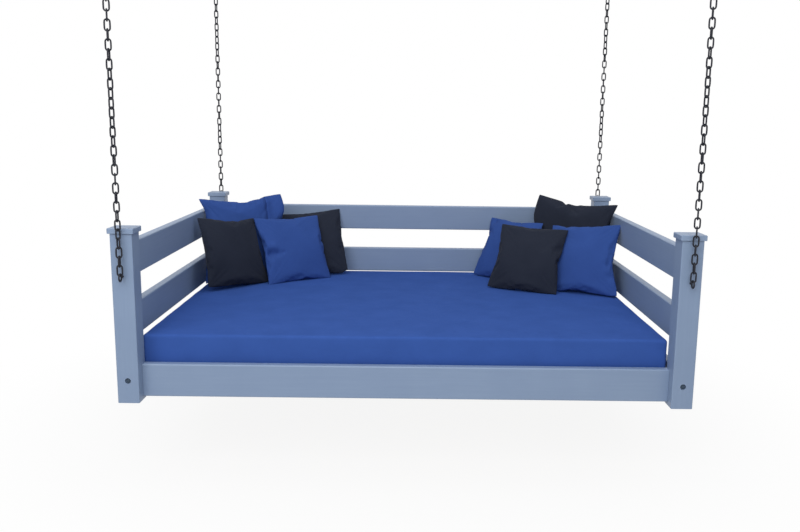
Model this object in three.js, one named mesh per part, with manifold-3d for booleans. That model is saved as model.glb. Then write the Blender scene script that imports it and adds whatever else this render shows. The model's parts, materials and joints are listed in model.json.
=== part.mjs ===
// A daybed porch swing: a painted timber frame with a mattress and eight scatter pillows,
// hung from the ceiling on four chains. Millimetres, +Z up, +X along the length of the bed,
// and the low open front faces -Y. The origin is on the ceiling, midway between the chains.

import * as THREE from 'three';
import { mergeGeometries, mergeVertices } from 'three/addons/utils/BufferGeometryUtils.js';
import Module from 'manifold-3d';

const wasm = await Module();
wasm.setup();

// Clearances
const seatGap = 0.3;          // between two pieces that rest on each other
const cutOverrun = 2;         // how far a cutter runs past the face that it opens
const weldDepth = 0.3;        // how deep two joined pieces run into each other

// The timber frame
const frameLength = 2370;     // over the posts
const frameDepth = 1715;      // over the posts
const postWidth = 89;         // a dressed 4x4
const postHeight = 704;
const postEase = 5;           // the flat taken off each long edge
const capThickness = 22;
const capOverhang = 8;
const capEase = 7;
const railWidth = 140;        // a dressed 2x6
const railThickness = 38;
const railEase = 5;
const bottomRailRise = 13;    // from the foot of the posts
const topRailDrop = 43;       // from the top of the posts
const railRows = ['bottom', 'middle', 'top'];

// The base inside the bottom rails
const mattressSink = 36;      // mattress bottom below the top edge of the bottom rails
const strapWidth = 38;
const strapThickness = 1.5;
const strapInset = 320;       // from the ends of the slats
const slatCount = 14;
const slatWidth = 89;
const slatThickness = 19;
const slatEndRoom = 20;       // between the first slat and the side rail
const cleatWidth = 38;
const cleatHeight = 38;
const beamWidth = 38;
const beamHeight = 64;

// Mattress
const mattressHeight = 152;
const mattressSideRoom = 21;  // to each side rail
const mattressEndRoom = 4;    // to the front and back rails
const mattressRounding = 30;
const mattressCrown = 8;
const mattressDrawIn = 5;     // the middle of each side, against its corners

// Pillows: the corner ones are larger than the others
const pillowSize = 384;       // from tip to tip
const cornerPillowShare = 1.203;
const pillowPlumpShare = 0.276;
const pillowDrawInShare = 0.1;
const pillowFullnessShare = 0.42;

// Fasteners
const boltHeadRadius = 9.5;
const boltHeadHeight = 6;
const boltShankRadius = 4;
const boltGrip = 70;          // how far the bolt runs into the rail
const boltRise = 95;          // above the foot of the post
const boltHoleRoom = 0.4;     // around the shank
const boltSinkRadius = 12;
const boltSinkDepth = 10;
const eyeDrop = 172.5;        // middle of the ring below the top of the post
const eyeRingRadius = 14.5;
const eyeWireRadius = 3.5;
const eyeNeck = 8.5;          // from the face of the post to the ring
const eyeShankRadius = 4.75;
const eyeShankLength = 65;    // inside the post

// Chains
const linkPitch = 36.2;
const linkWireRadius = 3.1;
const linkWidth = 27.2;
const lowerLinkCount = 6;
const upperLinkCount = 31;

// Ceiling plates
const plateLength = 110;
const plateWidth = 60;
const plateThickness = 6;
const plateHoleRadius = 5;
const plateHoleInset = 16;
const hangerRingRadius = 20;
const hangerWireRadius = 5;
const hangerWeld = 2;

// How finely round things are faceted
const linkStepCount = 8;
const linkSideCount = 4;
const ringStepCount = 12;
const ringSideCount = 6;
const roundSideCount = 8;
const boltHeadSideCount = 6;
const mattressStepCounts = [6, 4, 1];
const pillowStepCount = 8;     // even, so that a face has a middle

const paint = { color: 0x8a9bb4, roughness: 0.45, metalness: 0 };
const bareWood = { color: 0xc9a877, roughness: 0.7, metalness: 0 };
const webbedWood = { color: 0xbf9f70, roughness: 0.75, metalness: 0 };
const blueCloth = { color: 0x2f4a92, roughness: 0.85, metalness: 0 };
const charcoalCloth = { color: 0x262b36, roughness: 0.85, metalness: 0 };
const darkSteel = { color: 0x2b2a2c, roughness: 0.45, metalness: 0.9 };

const swing = new THREE.Group();
const corners = [
  { name: 'front_left', side: -1, end: -1 },
  { name: 'front_right', side: 1, end: -1 },
  { name: 'back_left', side: -1, end: 1 },
  { name: 'back_right', side: 1, end: 1 },
];

// Adds a named piece to the swing, with its own material.
function addPiece(name, geometry, look, place = new THREE.Vector3()) {
  const mesh = new THREE.Mesh(geometry, new THREE.MeshStandardMaterial(look));
  mesh.name = name;
  mesh.position.copy(place);
  swing.add(mesh);
}

// Turns a closed geometry into a solid that can be cut and joined.
function toSolid(geometry) {
  const bare = geometry.index ? geometry.clone() : mergeVertices(geometry);
  bare.deleteAttribute('normal');
  bare.deleteAttribute('uv');
  const merged = mergeVertices(bare);
  return new wasm.Manifold(new wasm.Mesh({
    numProp: 3,
    vertProperties: new Float32Array(merged.attributes.position.array),
    triVerts: new Uint32Array(merged.index.array),
  }));
}

function toGeometry(solid) {
  const mesh = solid.getMesh();
  const geometry = new THREE.BufferGeometry();
  geometry.setAttribute('position', new THREE.BufferAttribute(mesh.vertProperties, 3));
  geometry.setIndex(new THREE.BufferAttribute(mesh.triVerts, 1));
  geometry.computeVertexNormals();
  return geometry;
}

// A bar of the given section with its four long edges eased, running up along +Z from zero.
function easedBar(width, thickness, length, ease) {
  const x = width / 2;
  const y = thickness / 2;
  const section = new THREE.Shape([
    new THREE.Vector2(-x + ease, -y), new THREE.Vector2(x - ease, -y),
    new THREE.Vector2(x, -y + ease), new THREE.Vector2(x, y - ease),
    new THREE.Vector2(x - ease, y), new THREE.Vector2(-x + ease, y),
    new THREE.Vector2(-x, y - ease), new THREE.Vector2(-x, -y + ease),
  ]);
  return new THREE.ExtrudeGeometry(section, { depth: length, bevelEnabled: false });
}

// A cylinder along Y from one value of y to another.
function roundAlongY(radius, from, to, z = 0, sides = roundSideCount) {
  const geometry = new THREE.CylinderGeometry(radius, radius, to - from, sides);
  return geometry.translate(0, (from + to) / 2, z);
}

// Places that several pieces share
const halfLength = frameLength / 2;
const postX = halfLength - postWidth / 2;
const sideRailInnerX = postX - railThickness / 2;
const railPitch = (postHeight - topRailDrop - railWidth - bottomRailRise) / (railRows.length - 1);
const railSpan = frameLength - 2 * postWidth - 2 * seatGap;
const sideRailSpan = frameDepth - 2 * postWidth - 2 * seatGap;
const mattressBottom = bottomRailRise + railWidth - mattressSink;
const mattressTop = mattressBottom + mattressHeight;
const strapTop = mattressBottom - seatGap;
const slatTop = strapTop - strapThickness;
const slatBottom = slatTop - slatThickness;
const cleatTop = slatBottom - seatGap;
const eyeRise = postHeight - eyeDrop;
const eyeY = -(eyeNeck + eyeWireRadius + eyeRingRadius);

// The distance to the front face of the posts, from the front or from the back.
function fromEnd(end, inward) {
  return end < 0 ? inward : frameDepth - inward;
}

function makePosts() {
  for (const { name, side, end } of corners) {
    let post = toSolid(easedBar(postWidth, postWidth, postHeight, postEase));
    const face = -postWidth / 2;
    const cutters = [
      roundAlongY(boltSinkRadius, face - cutOverrun, face + boltSinkDepth, boltRise),
      roundAlongY(boltShankRadius + boltHoleRoom, face, -face + cutOverrun, boltRise),
      roundAlongY(eyeShankRadius + boltHoleRoom, face - cutOverrun,
        face + eyeShankLength + cutOverrun, eyeRise),
    ];
    for (const cutter of cutters) {
      post = post.subtract(toSolid(cutter));
    }
    const geometry = toGeometry(post);
    if (end > 0) {
      geometry.rotateZ(Math.PI);
    }
    const place = new THREE.Vector3(side * postX, fromEnd(end, postWidth / 2), 0);
    addPiece(`${name}_post`, geometry, paint, place);
    addPiece(`${name}_cap`, capGeometry(), paint, place.clone().setZ(postHeight + seatGap));
  }
}

// A square cap with its corners and its upper edges eased.
function capGeometry() {
  const width = postWidth + 2 * capOverhang;
  const x = width / 2;
  const geometry = easedBar(width, width, capThickness - capEase, capEase / 2);
  const top = easedBar(width, width, capEase, capEase / 2);
  const points = top.attributes.position;
  for (let i = 0; i < points.count; i += 1) {
    if (points.getZ(i) > capEase / 2) {
      points.setX(i, points.getX(i) * (x - capEase) / x);
      points.setY(i, points.getY(i) * (x - capEase) / x);
    }
  }
  top.translate(0, 0, capThickness - capEase);
  return toGeometry(toSolid(geometry).add(toSolid(top)));
}

// The boards that run along X, between the posts.
function makeLongRails() {
  const geometry = () => easedBar(railThickness, railWidth, railSpan, railEase)
    .rotateY(Math.PI / 2).rotateX(Math.PI / 2).translate(-railSpan / 2, 0, railWidth / 2);
  const inward = postWidth - railThickness / 2;
  addPiece('front_bottom_rail', geometry(), paint,
    new THREE.Vector3(0, fromEnd(-1, inward), bottomRailRise));
  railRows.forEach((row, i) => {
    addPiece(`back_${row}_rail`, geometry(), paint,
      new THREE.Vector3(0, fromEnd(1, inward), bottomRailRise + i * railPitch));
  });
}

// The boards that run along Y, midway in the width of the posts. The bottom ones are bored at
// both ends for the bolts.
function makeSideRails() {
  const bar = easedBar(railThickness, railWidth, sideRailSpan, railEase)
    .rotateX(-Math.PI / 2).translate(0, -sideRailSpan / 2, railWidth / 2);
  const reach = sideRailSpan / 2;
  const depth = boltGrip + cutOverrun;
  const boreRadius = boltShankRadius + boltHoleRoom;
  const boreZ = boltRise - bottomRailRise;
  let bored = toSolid(bar);
  for (const end of [-1, 1]) {
    const bore = end < 0
      ? roundAlongY(boreRadius, -reach - cutOverrun, -reach + depth, boreZ)
      : roundAlongY(boreRadius, reach - depth, reach + cutOverrun, boreZ);
    bored = bored.subtract(toSolid(bore));
  }
  for (const [name, side] of [['left', -1], ['right', 1]]) {
    railRows.forEach((row, i) => {
      const geometry = i === 0 ? toGeometry(bored) : bar.clone();
      addPiece(`${name}_${row}_rail`, geometry, paint,
        new THREE.Vector3(side * postX, frameDepth / 2, bottomRailRise + i * railPitch));
    });
  }
}

// Two cleats carry the ends of the slats, and a beam between the side rails their middles.
function makeBase() {
  const inward = postWidth + seatGap + cleatWidth / 2;
  for (const [name, end] of [['front', -1], ['back', 1]]) {
    const cleat = new THREE.BoxGeometry(railSpan, cleatWidth, cleatHeight);
    addPiece(`${name}_cleat`, cleat, bareWood,
      new THREE.Vector3(0, fromEnd(end, inward), cleatTop - cleatHeight / 2));
  }
  const beamSpan = 2 * (sideRailInnerX - seatGap);
  addPiece('centre_beam', new THREE.BoxGeometry(beamSpan, beamWidth, beamHeight), bareWood,
    new THREE.Vector3(0, frameDepth / 2, cleatTop - beamHeight / 2));

  const slatLength = sideRailSpan - 2 * seatGap;
  const firstX = sideRailInnerX - slatEndRoom - slatWidth / 2;
  let base = null;
  for (let i = 0; i < slatCount; i += 1) {
    const x = -firstX + (2 * firstX * i) / (slatCount - 1);
    const slat = toSolid(new THREE.BoxGeometry(slatWidth, slatLength, slatThickness)
      .translate(x, 0, slatBottom + slatThickness / 2));
    base = base ? base.add(slat) : slat;
  }
  for (const end of [-1, 1]) {
    const strapHeight = strapThickness + weldDepth;
    const strap = new THREE.BoxGeometry(2 * firstX + slatWidth, strapWidth, strapHeight);
    strap.translate(0, end * (slatLength / 2 - strapInset), strapTop - strapHeight / 2);
    base = base.add(toSolid(strap));
  }
  addPiece('slat_base', toGeometry(base), webbedWood, new THREE.Vector3(0, frameDepth / 2, 0));
}

// A box whose faces are divided at the given places, so that its edges can be rounded.
function dividedBox(stops) {
  const counts = stops.map((list) => list.length - 1);
  const geometry = new THREE.BoxGeometry(...counts, ...counts);
  const points = geometry.attributes.position;
  for (let i = 0; i < points.count; i += 1) {
    const at = [points.getX(i), points.getY(i), points.getZ(i)]
      .map((value, axis) => stops[axis][Math.round(value + counts[axis] / 2)]);
    points.setXYZ(i, ...at);
  }
  return geometry;
}

// Places along one side of the mattress: close together in the rounded edges, even between.
function mattressStops(half, steps) {
  const bendShare = 1 - Math.tan(Math.PI / 8);
  const ends = [half, half - bendShare * mattressRounding, half - mattressRounding];
  const middle = [];
  for (let i = 1; i < steps; i += 1) {
    middle.push((half - mattressRounding) * (-1 + (2 * i) / steps));
  }
  return [...ends.map((value) => -value), ...middle, ...ends.reverse()];
}

const mattressHalf = [
  sideRailInnerX - mattressSideRoom,
  frameDepth / 2 - postWidth - mattressEndRoom,
  mattressHeight / 2,
];

// How far the crowned top of the mattress has fallen at a place, from its middle.
function crownFall(x, y) {
  const acrossX = 1 - (x / mattressHalf[0]) ** 2;
  const acrossY = 1 - (y / mattressHalf[1]) ** 2;
  return mattressCrown * (1 - acrossX * acrossY);
}

// The same, with the rounded edges.
function mattressFall(x, y) {
  const intoEdge = [x, y].map((value, axis) => (
    Math.max(0, Math.abs(value) - (mattressHalf[axis] - mattressRounding))));
  const across = Math.min(Math.hypot(...intoEdge), mattressRounding);
  return crownFall(x, y) + mattressRounding - Math.sqrt(mattressRounding ** 2 - across ** 2);
}

function makeMattress() {
  const half = mattressHalf;
  const geometry = dividedBox(half.map((size, axis) => mattressStops(size, mattressStepCounts[axis])));
  const points = geometry.attributes.position;
  const corner = new THREE.Vector3();
  const point = new THREE.Vector3();
  for (let i = 0; i < points.count; i += 1) {
    point.fromBufferAttribute(points, i);
    corner.set(...half.map((size, axis) => {
      const inner = size - mattressRounding;
      return Math.min(Math.max(point.getComponent(axis), -inner), inner);
    }));
    if (point.distanceTo(corner) > 0) {
      point.sub(corner).setLength(mattressRounding).add(corner);
    }
    const acrossX = 1 - (point.x / half[0]) ** 2;
    const acrossY = 1 - (point.y / half[1]) ** 2;
    const acrossZ = 1 - (point.z / half[2]) ** 2;
    point.x -= mattressDrawIn * acrossY * acrossZ * (point.x / half[0]);
    point.y -= mattressDrawIn * acrossX * acrossZ * (point.y / half[1]);
    if (point.z > 0) {
      point.z -= crownFall(point.x, point.y) * (point.z / half[2]);
    }
    points.setXYZ(i, point.x, point.y, point.z);
  }
  addPiece('mattress', toGeometry(toSolid(geometry)), blueCloth,
    new THREE.Vector3(0, frameDepth / 2, mattressBottom + mattressHeight / 2));
}

const pillowRowCount = pillowStepCount + 1;

// The triangles of one face of a pillow, row by row from its top left. Each square is split
// along the line that runs to the nearest tip.
function pillowFaceOrder(side) {
  const order = [];
  const middle = pillowStepCount / 2;
  for (let row = 0; row < pillowStepCount; row += 1) {
    for (let column = 0; column < pillowStepCount; column += 1) {
      const upperLeft = row * pillowRowCount + column;
      const upperRight = upperLeft + 1;
      const lowerLeft = upperLeft + pillowRowCount;
      const lowerRight = lowerLeft + 1;
      const square = (row < middle) === (column < middle)
        ? [upperLeft, lowerLeft, lowerRight, upperLeft, lowerRight, upperRight]
        : [upperLeft, lowerLeft, upperRight, lowerLeft, lowerRight, upperRight];
      order.push(...(side < 0 ? square : square.reverse()));
    }
  }
  return order;
}

// A pillow stands in the XZ plane. Two crowned faces meet in a seam, which pulls in between
// its four tips.
function pillowGeometry(size) {
  const half = size / 2;
  const halfPlump = (pillowPlumpShare * size) / 2;
  const faces = [-1, 1].map((side) => {
    const face = new THREE.PlaneGeometry(size, size, pillowStepCount, pillowStepCount);
    const points = face.attributes.position;
    for (let i = 0; i < points.count; i += 1) {
      const column = i % pillowRowCount;
      const row = Math.floor(i / pillowRowCount);
      const u = -Math.cos((column * Math.PI) / pillowStepCount);
      const v = Math.cos((row * Math.PI) / pillowStepCount);
      const acrossU = 1 - u * u;
      const acrossV = 1 - v * v;
      const onSeam = column % pillowStepCount === 0 || row % pillowStepCount === 0;
      const swell = onSeam ? 0 : (acrossU * acrossV) ** pillowFullnessShare;
      points.setXYZ(i,
        half * u * (1 - pillowDrawInShare * acrossV),
        side * halfPlump * swell,
        half * v * (1 - pillowDrawInShare * acrossU));
    }
    face.setIndex(pillowFaceOrder(side));
    return face;
  });
  return mergeGeometries(faces);
}

// Each pillow's middle, in from the side rail and in from the back rails, as shares of the
// pillow size, and its turns in degrees: yaw about the upright, lean away from the front,
// and roll in its own plane.
const pillowPlaceShares = {
  left_corner_pillow: { in: 0.51, back: 0.815, yaw: 31, lean: 5, roll: 0, look: blueCloth },
  left_side_pillow: { in: 0.48, back: 1.36, yaw: 52, lean: 19, roll: 4, look: charcoalCloth },
  left_front_pillow: { in: 1.22, back: 0.79, yaw: 36, lean: 22, roll: 0, look: blueCloth },
  left_rail_pillow: { in: 1.455, back: 0.295, yaw: 7, lean: 25, roll: -6, look: charcoalCloth },
  right_corner_pillow: { in: 0.53, back: 0.78, yaw: -35, lean: 7, roll: 3, look: charcoalCloth },
  right_rail_pillow: { in: 1.43, back: 0.52, yaw: -43, lean: 27, roll: 1, look: blueCloth },
  right_front_pillow: { in: 1.25, back: 1.34, yaw: -23, lean: 30, roll: 2, look: charcoalCloth },
  right_side_pillow: { in: 0.53, back: 1.43, yaw: -29, lean: 25, roll: -3, look: blueCloth },
};

function makePillows() {
  for (const [name, shares] of Object.entries(pillowPlaceShares)) {
    const side = name.startsWith('left') ? -1 : 1;
    const size = name.includes('corner') ? cornerPillowShare * pillowSize : pillowSize;
    const geometry = pillowGeometry(size)
      .rotateY(THREE.MathUtils.degToRad(shares.roll))
      .rotateX(THREE.MathUtils.degToRad(-shares.lean))
      .rotateZ(THREE.MathUtils.degToRad(shares.yaw));
    const x = side * (sideRailInnerX - shares.in * pillowSize);
    const y = frameDepth - postWidth - shares.back * pillowSize;
    const points = geometry.attributes.position;
    let z = 0;
    for (let i = 0; i < points.count; i += 1) {
      const fall = mattressFall(x + points.getX(i), y + points.getY(i) - frameDepth / 2);
      z = Math.max(z, mattressTop - fall + seatGap - points.getZ(i));
    }
    addPiece(name, toGeometry(toSolid(geometry)), shares.look, new THREE.Vector3(x, y, z));
  }
}

// Bolts through the feet of the posts into the ends of the bottom side rails.
function makeBolts() {
  for (const { name, side, end } of corners) {
    const headFrom = boltSinkDepth - boltHeadHeight;
    const head = roundAlongY(boltHeadRadius, headFrom, boltSinkDepth - seatGap, 0, boltHeadSideCount);
    const shank = roundAlongY(boltShankRadius, headFrom + weldDepth, postWidth + boltGrip);
    const geometry = toGeometry(toSolid(head).add(toSolid(shank)));
    if (end > 0) {
      geometry.rotateZ(Math.PI);
    }
    addPiece(`${name}_bolt`, geometry, darkSteel,
      new THREE.Vector3(side * postX, fromEnd(end, 0), boltRise));
  }
}

// A ring in the YZ plane.
function ringSolid(radius, wireRadius) {
  return toSolid(new THREE.TorusGeometry(radius, wireRadius, ringSideCount, ringStepCount)
    .rotateY(Math.PI / 2));
}

function makeScrewEyes() {
  const ring = ringSolid(eyeRingRadius, eyeWireRadius);
  const shankFrom = eyeRingRadius;
  const shankTo = -eyeY + eyeShankLength;
  const shank = toSolid(roundAlongY(eyeShankRadius, shankFrom, shankTo));
  for (const { name, side, end } of corners) {
    const geometry = toGeometry(ring.add(shank));
    if (end > 0) {
      geometry.rotateZ(Math.PI);
    }
    addPiece(`${name}_screw_eye`, geometry, darkSteel,
      new THREE.Vector3(side * postX, fromEnd(end, eyeY), eyeRise));
  }
}

// Chain links. Half the thickness of a faceted wire, in the plane of its link, is less than
// its radius.
const facetShare = Math.cos(Math.PI / linkStepCount);
const wireHalf = linkWireRadius * facetShare;
const fusedSpacing = 2 * wireHalf - weldDepth;
const looseSpacing = 2 * wireHalf + seatGap;
const fusedReach = (linkPitch + fusedSpacing) / 2;
const looseReach = (linkPitch + looseSpacing) / 2;
const bendRadius = linkWidth / 2 / facetShare - linkWireRadius;

// One link: a ring pulled out to an oval, reaching up and down from its middle to the centre
// of its wire. Its ends are flat, so that the next link's wire crosses it squarely.
function linkSolid(up, down, across) {
  const geometry = new THREE.TorusGeometry(bendRadius, linkWireRadius, linkSideCount, linkStepCount)
    .rotateZ(Math.PI / linkStepCount).rotateX(Math.PI / 2);
  const points = geometry.attributes.position;
  for (let i = 0; i < points.count; i += 1) {
    const reach = points.getZ(i) > 0 ? up : -down;
    const bend = points.getZ(i) > 0 ? bendRadius * facetShare : -bendRadius * facetShare;
    points.setZ(i, points.getZ(i) + reach - bend);
  }
  if (across) {
    geometry.rotateZ(Math.PI / 2);
  }
  return toSolid(geometry);
}

// A run of links that touch, from the lowest up, joined where they touch. Every other link is
// turned a quarter. Both ends of the run hang loosely in what comes next.
function chainRun(count, firstAcross, firstReach) {
  let run = null;
  for (let i = 0; i < count; i += 1) {
    const up = i === count - 1 ? looseReach : fusedReach;
    const down = i === 0 ? firstReach : fusedReach;
    const across = (i % 2 === 0) === firstAcross;
    const link = linkSolid(up, down, across).translate([0, 0, i * linkPitch]);
    run = run ? run.add(link) : link;
  }
  return run;
}

// Heights of the chain above the foot of the posts, from the screw eye up to the ceiling.
const eyeTop = eyeRise + eyeRingRadius;
const eyeSpacing = eyeWireRadius + wireHalf + seatGap;
const firstLink = eyeTop - eyeSpacing + looseReach;
const pivotLink = firstLink + lowerLinkCount * linkPitch;
const upperLink = pivotLink + linkPitch;
const topLink = upperLink + upperLinkCount * linkPitch;
const hangerSpacing = hangerWireRadius + wireHalf + seatGap;
const hangerBottom = topLink + looseReach - hangerSpacing;
const hangerMiddle = hangerBottom + hangerRingRadius;
const plateBottom = hangerMiddle + hangerRingRadius + hangerWireRadius - hangerWeld;
const ceilingHeight = plateBottom + plateThickness;

function makeChains() {
  const lower = chainRun(lowerLinkCount, false, looseReach);
  const upper = chainRun(upperLinkCount, true, looseReach);
  const single = linkSolid(looseReach, looseReach, false);
  for (const { name, side, end } of corners) {
    const parts = [
      ['lower_chain', lower, firstLink],
      ['pivot_link', single, pivotLink],
      ['upper_chain', upper, upperLink],
      ['top_link', single, topLink],
    ];
    for (const [part, solid, height] of parts) {
      addPiece(`${name}_${part}`, toGeometry(solid), darkSteel,
        new THREE.Vector3(side * postX, fromEnd(end, eyeY), height));
    }
  }
}

// A ceiling plate with two screw holes, and a ring welded under it.
function makeHangers() {
  let hanger = toSolid(new THREE.BoxGeometry(plateWidth, plateLength, plateThickness)
    .translate(0, 0, plateBottom + plateThickness / 2));
  hanger = hanger.add(ringSolid(hangerRingRadius, hangerWireRadius)
    .translate([0, 0, hangerMiddle]));
  for (const end of [-1, 1]) {
    const hole = new THREE.CylinderGeometry(plateHoleRadius, plateHoleRadius,
      plateThickness + 2 * cutOverrun, roundSideCount);
    hole.rotateX(Math.PI / 2)
      .translate(0, end * (plateLength / 2 - plateHoleInset), plateBottom + plateThickness / 2);
    hanger = hanger.subtract(toSolid(hole));
  }
  for (const { name, side, end } of corners) {
    addPiece(`${name}_hanger`, toGeometry(hanger), darkSteel,
      new THREE.Vector3(side * postX, fromEnd(end, eyeY), 0));
  }
}

makePosts();
makeLongRails();
makeSideRails();
makeBase();
makeMattress();
makePillows();
makeBolts();
makeScrewEyes();
makeChains();
makeHangers();

swing.position.set(0, -frameDepth / 2, -ceilingHeight);
export default swing;
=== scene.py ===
import json
import math
import random

import bmesh
import bpy
from bpy.props import (
    FloatProperty,
    FloatVectorProperty,
    IntProperty,
    PointerProperty,
)
from mathutils import Matrix, Vector, noise
from mathutils.bvhtree import BVHTree

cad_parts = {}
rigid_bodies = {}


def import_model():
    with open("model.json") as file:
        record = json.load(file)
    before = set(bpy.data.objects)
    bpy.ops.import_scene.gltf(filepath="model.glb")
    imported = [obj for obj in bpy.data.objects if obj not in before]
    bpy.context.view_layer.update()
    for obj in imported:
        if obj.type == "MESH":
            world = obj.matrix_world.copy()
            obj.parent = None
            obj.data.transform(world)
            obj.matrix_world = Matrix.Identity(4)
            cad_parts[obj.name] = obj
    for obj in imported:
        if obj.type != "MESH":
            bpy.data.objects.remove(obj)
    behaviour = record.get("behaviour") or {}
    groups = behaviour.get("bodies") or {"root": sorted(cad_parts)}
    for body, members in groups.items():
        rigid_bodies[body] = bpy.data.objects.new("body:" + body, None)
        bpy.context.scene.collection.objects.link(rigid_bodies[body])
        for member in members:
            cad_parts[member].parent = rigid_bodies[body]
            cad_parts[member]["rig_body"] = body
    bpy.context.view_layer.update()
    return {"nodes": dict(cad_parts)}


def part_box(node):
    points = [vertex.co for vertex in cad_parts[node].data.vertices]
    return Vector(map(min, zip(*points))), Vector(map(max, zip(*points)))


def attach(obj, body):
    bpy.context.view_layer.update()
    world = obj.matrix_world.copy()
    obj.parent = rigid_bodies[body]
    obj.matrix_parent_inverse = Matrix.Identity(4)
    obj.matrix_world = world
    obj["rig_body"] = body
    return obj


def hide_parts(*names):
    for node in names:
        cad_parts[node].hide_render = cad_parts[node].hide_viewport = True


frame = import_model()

bl_info = {
    "name": "Porch Swing",
    "version": (1, 0, 0),
    "blender": (4, 5, 0),
    "location": "View3D > Sidebar > Porch Swing",
    "description": "Builds a daybed porch swing on four chains, piece by piece",
    "category": "Add Mesh",
}

CORNERS = ("front_left", "front_right", "back_left", "back_right")
AXES = X_AXIS, Y_AXIS, Z_AXIS = range(3)

SAME = 1e-6         # Two coordinates nearer than this are one.
SHARP = 35.0        # An edge that turns by more degrees than this is shaded sharp.
OVERRUN = 0.002     # How far a cutter runs past the face that it opens.
BOLT_ROOM = 0.0004  # The room round a bolt's shank in its hole.
EYE_ROOM = 0.0006   # The room round a screw eye's shank in its hole.
TIP_ROOM = 0.001    # The room past the tip of either.

# The boards of the frame and the way each one runs.
BOARDS = {
    "front_bottom_rail": X_AXIS,
    "back_bottom_rail": X_AXIS,
    "back_middle_rail": X_AXIS,
    "back_top_rail": X_AXIS,
    "left_bottom_rail": Y_AXIS,
    "left_middle_rail": Y_AXIS,
    "left_top_rail": Y_AXIS,
    "right_bottom_rail": Y_AXIS,
    "right_middle_rail": Y_AXIS,
    "right_top_rail": Y_AXIS,
}

# How each pillow stands and sags. "turn" is its turn about the upright, its lean away from the
# front and its roll in its own plane, in degrees. "bending" is how much its cloth resists
# bending, and "drop" the most that its lower seam is let down to the mattress, in millimetres.
# Each of the "pulls" moves the cloth about one spot: the spot, across and up from -1 to 1, how
# far the pull reaches, and how far it moves to the right, back and up, in millimetres. "fold" is
# where one side folds forward, in metres from the middle, and how steeply.
PILLOWS = {
    "left_corner_pillow": {
        "turn": (31, 5, 0), "cloth": "blue", "bending": 0.2, "drop": 8, "fold": (0.145, 0.5),
        "pulls": (
            (-1, 1, 0.4, (-16, 10, 8)), (1, 1, 0.4, (-22, 0, 18)), (-1, 0.7, 0.2, (28, 0, 0)),
            (1, 0.68, 0.25, (30, 0, 0)), (0.35, 1, 0.2, (0, 0, 8)),
        ),
    },
    "left_side_pillow": {
        "turn": (52, 19, 4), "cloth": "charcoal", "bending": 0.35, "drop": 5,
        "pulls": (
            (-1, 1, 0.4, (8, 14, 2)), (1, 1, 0.4, (-4, 0, -9)), (-1, -1, 0.4, (0, 12, 14)),
            (1, -1, 0.4, (14, 0, 10)),
        ),
    },
    "left_front_pillow": {
        "turn": (36, 22, 0), "cloth": "blue", "bending": 0.12, "drop": 16,
        "pulls": (
            (-1, 1, 0.4, (-8, 0, 1)), (1, 1, 0.4, (11, 10, 2)), (-1, -1, 0.4, (0, -12, -8)),
            (1, -1, 0.4, (10, -10, -10)), (1, 0.1, 0.4, (26, 0, 0)),
            (-0.76, -0.12, 0.08, (0, 26, 0)), (-0.58, -0.14, 0.06, (0, 14, 0)),
            (-0.66, 0.07, 0.08, (0, -8, 0)), (-0.4, -0.12, 0.04, (0, 6, 0)),
        ),
    },
    "left_rail_pillow": {
        "turn": (7, 25, -6), "cloth": "charcoal", "bending": 0.3, "drop": 22,
        "pulls": ((1, 1, 0.4, (-10, 8, 0)), (1, -1, 0.4, (-6, 0, 4))),
    },
    "right_corner_pillow": {
        "turn": (-35, 7, 3), "cloth": "charcoal", "bending": 0.25, "drop": 8,
        "pulls": (
            (-1, 1, 0.4, (-12, 8, 8)), (1, 1, 0.35, (12, 12, 8)), (-1, 0.4, 0.4, (-46, 0, 0)),
            (1, 0.7, 0.2, (-18, 0, 0)), (-0.2, 1, 0.35, (0, 0, 18)),
        ),
    },
    "right_rail_pillow": {
        "turn": (-43, 27, 1), "cloth": "blue", "bending": 0.15, "drop": 8,
        "pulls": (
            (-1, 1, 0.4, (-14, 12, -8)), (1, 1, 0.4, (-12, 0, -9)), (-1, -1, 0.4, (4, 0, 10)),
            (-0.72, 0.8, 0.07, (0, 12, 0)), (-0.8, 0.45, 0.07, (0, 10, 0)),
        ),
    },
    "right_front_pillow": {
        "turn": (-23, 30, 2), "cloth": "charcoal", "bending": 0.4, "drop": 5,
        "pulls": (
            (-1, 1, 0.4, (6, 0, -2)), (1, 1, 0.4, (-8, 8, 3)), (-1, -1, 0.4, (-6, 18, 14)),
            (1, -1, 0.4, (-4, 8, 10)),
        ),
    },
    "right_side_pillow": {
        "turn": (-29, 25, -3), "cloth": "blue", "bending": 0.1, "drop": 6,
        "pulls": (
            (-1, 1, 0.4, (10, 0, -8)), (1, 1, 0.4, (-2, 20, 10)), (1, -1, 0.4, (24, 0, -4)),
            (0.86, 0.3, 0.07, (0, 12, 0)), (0.8, -0.2, 0.07, (0, 12, 0)),
            (0.84, -0.5, 0.07, (0, 10, 0)),
        ),
    },
}


def linear(code):
    """An sRGB hex colour as linear red, green, blue and alpha."""
    channels = [int(code[i:i + 2], 16) / 255 for i in (1, 3, 5)]
    return tuple(
        c / 12.92 if c <= 0.04045 else ((c + 0.055) / 1.055) ** 2.4 for c in channels
    ) + (1.0,)


def length(name, description, default):
    """A length that a user may change, in metres."""
    return FloatProperty(
        name=name, description=description, default=default, min=0, unit="LENGTH", precision=5
    )


def colour(name, description, code):
    """A colour that a user may change."""
    return FloatVectorProperty(
        name=name, description=description, default=linear(code), size=4, min=0, max=1,
        subtype="COLOR",
    )


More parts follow.
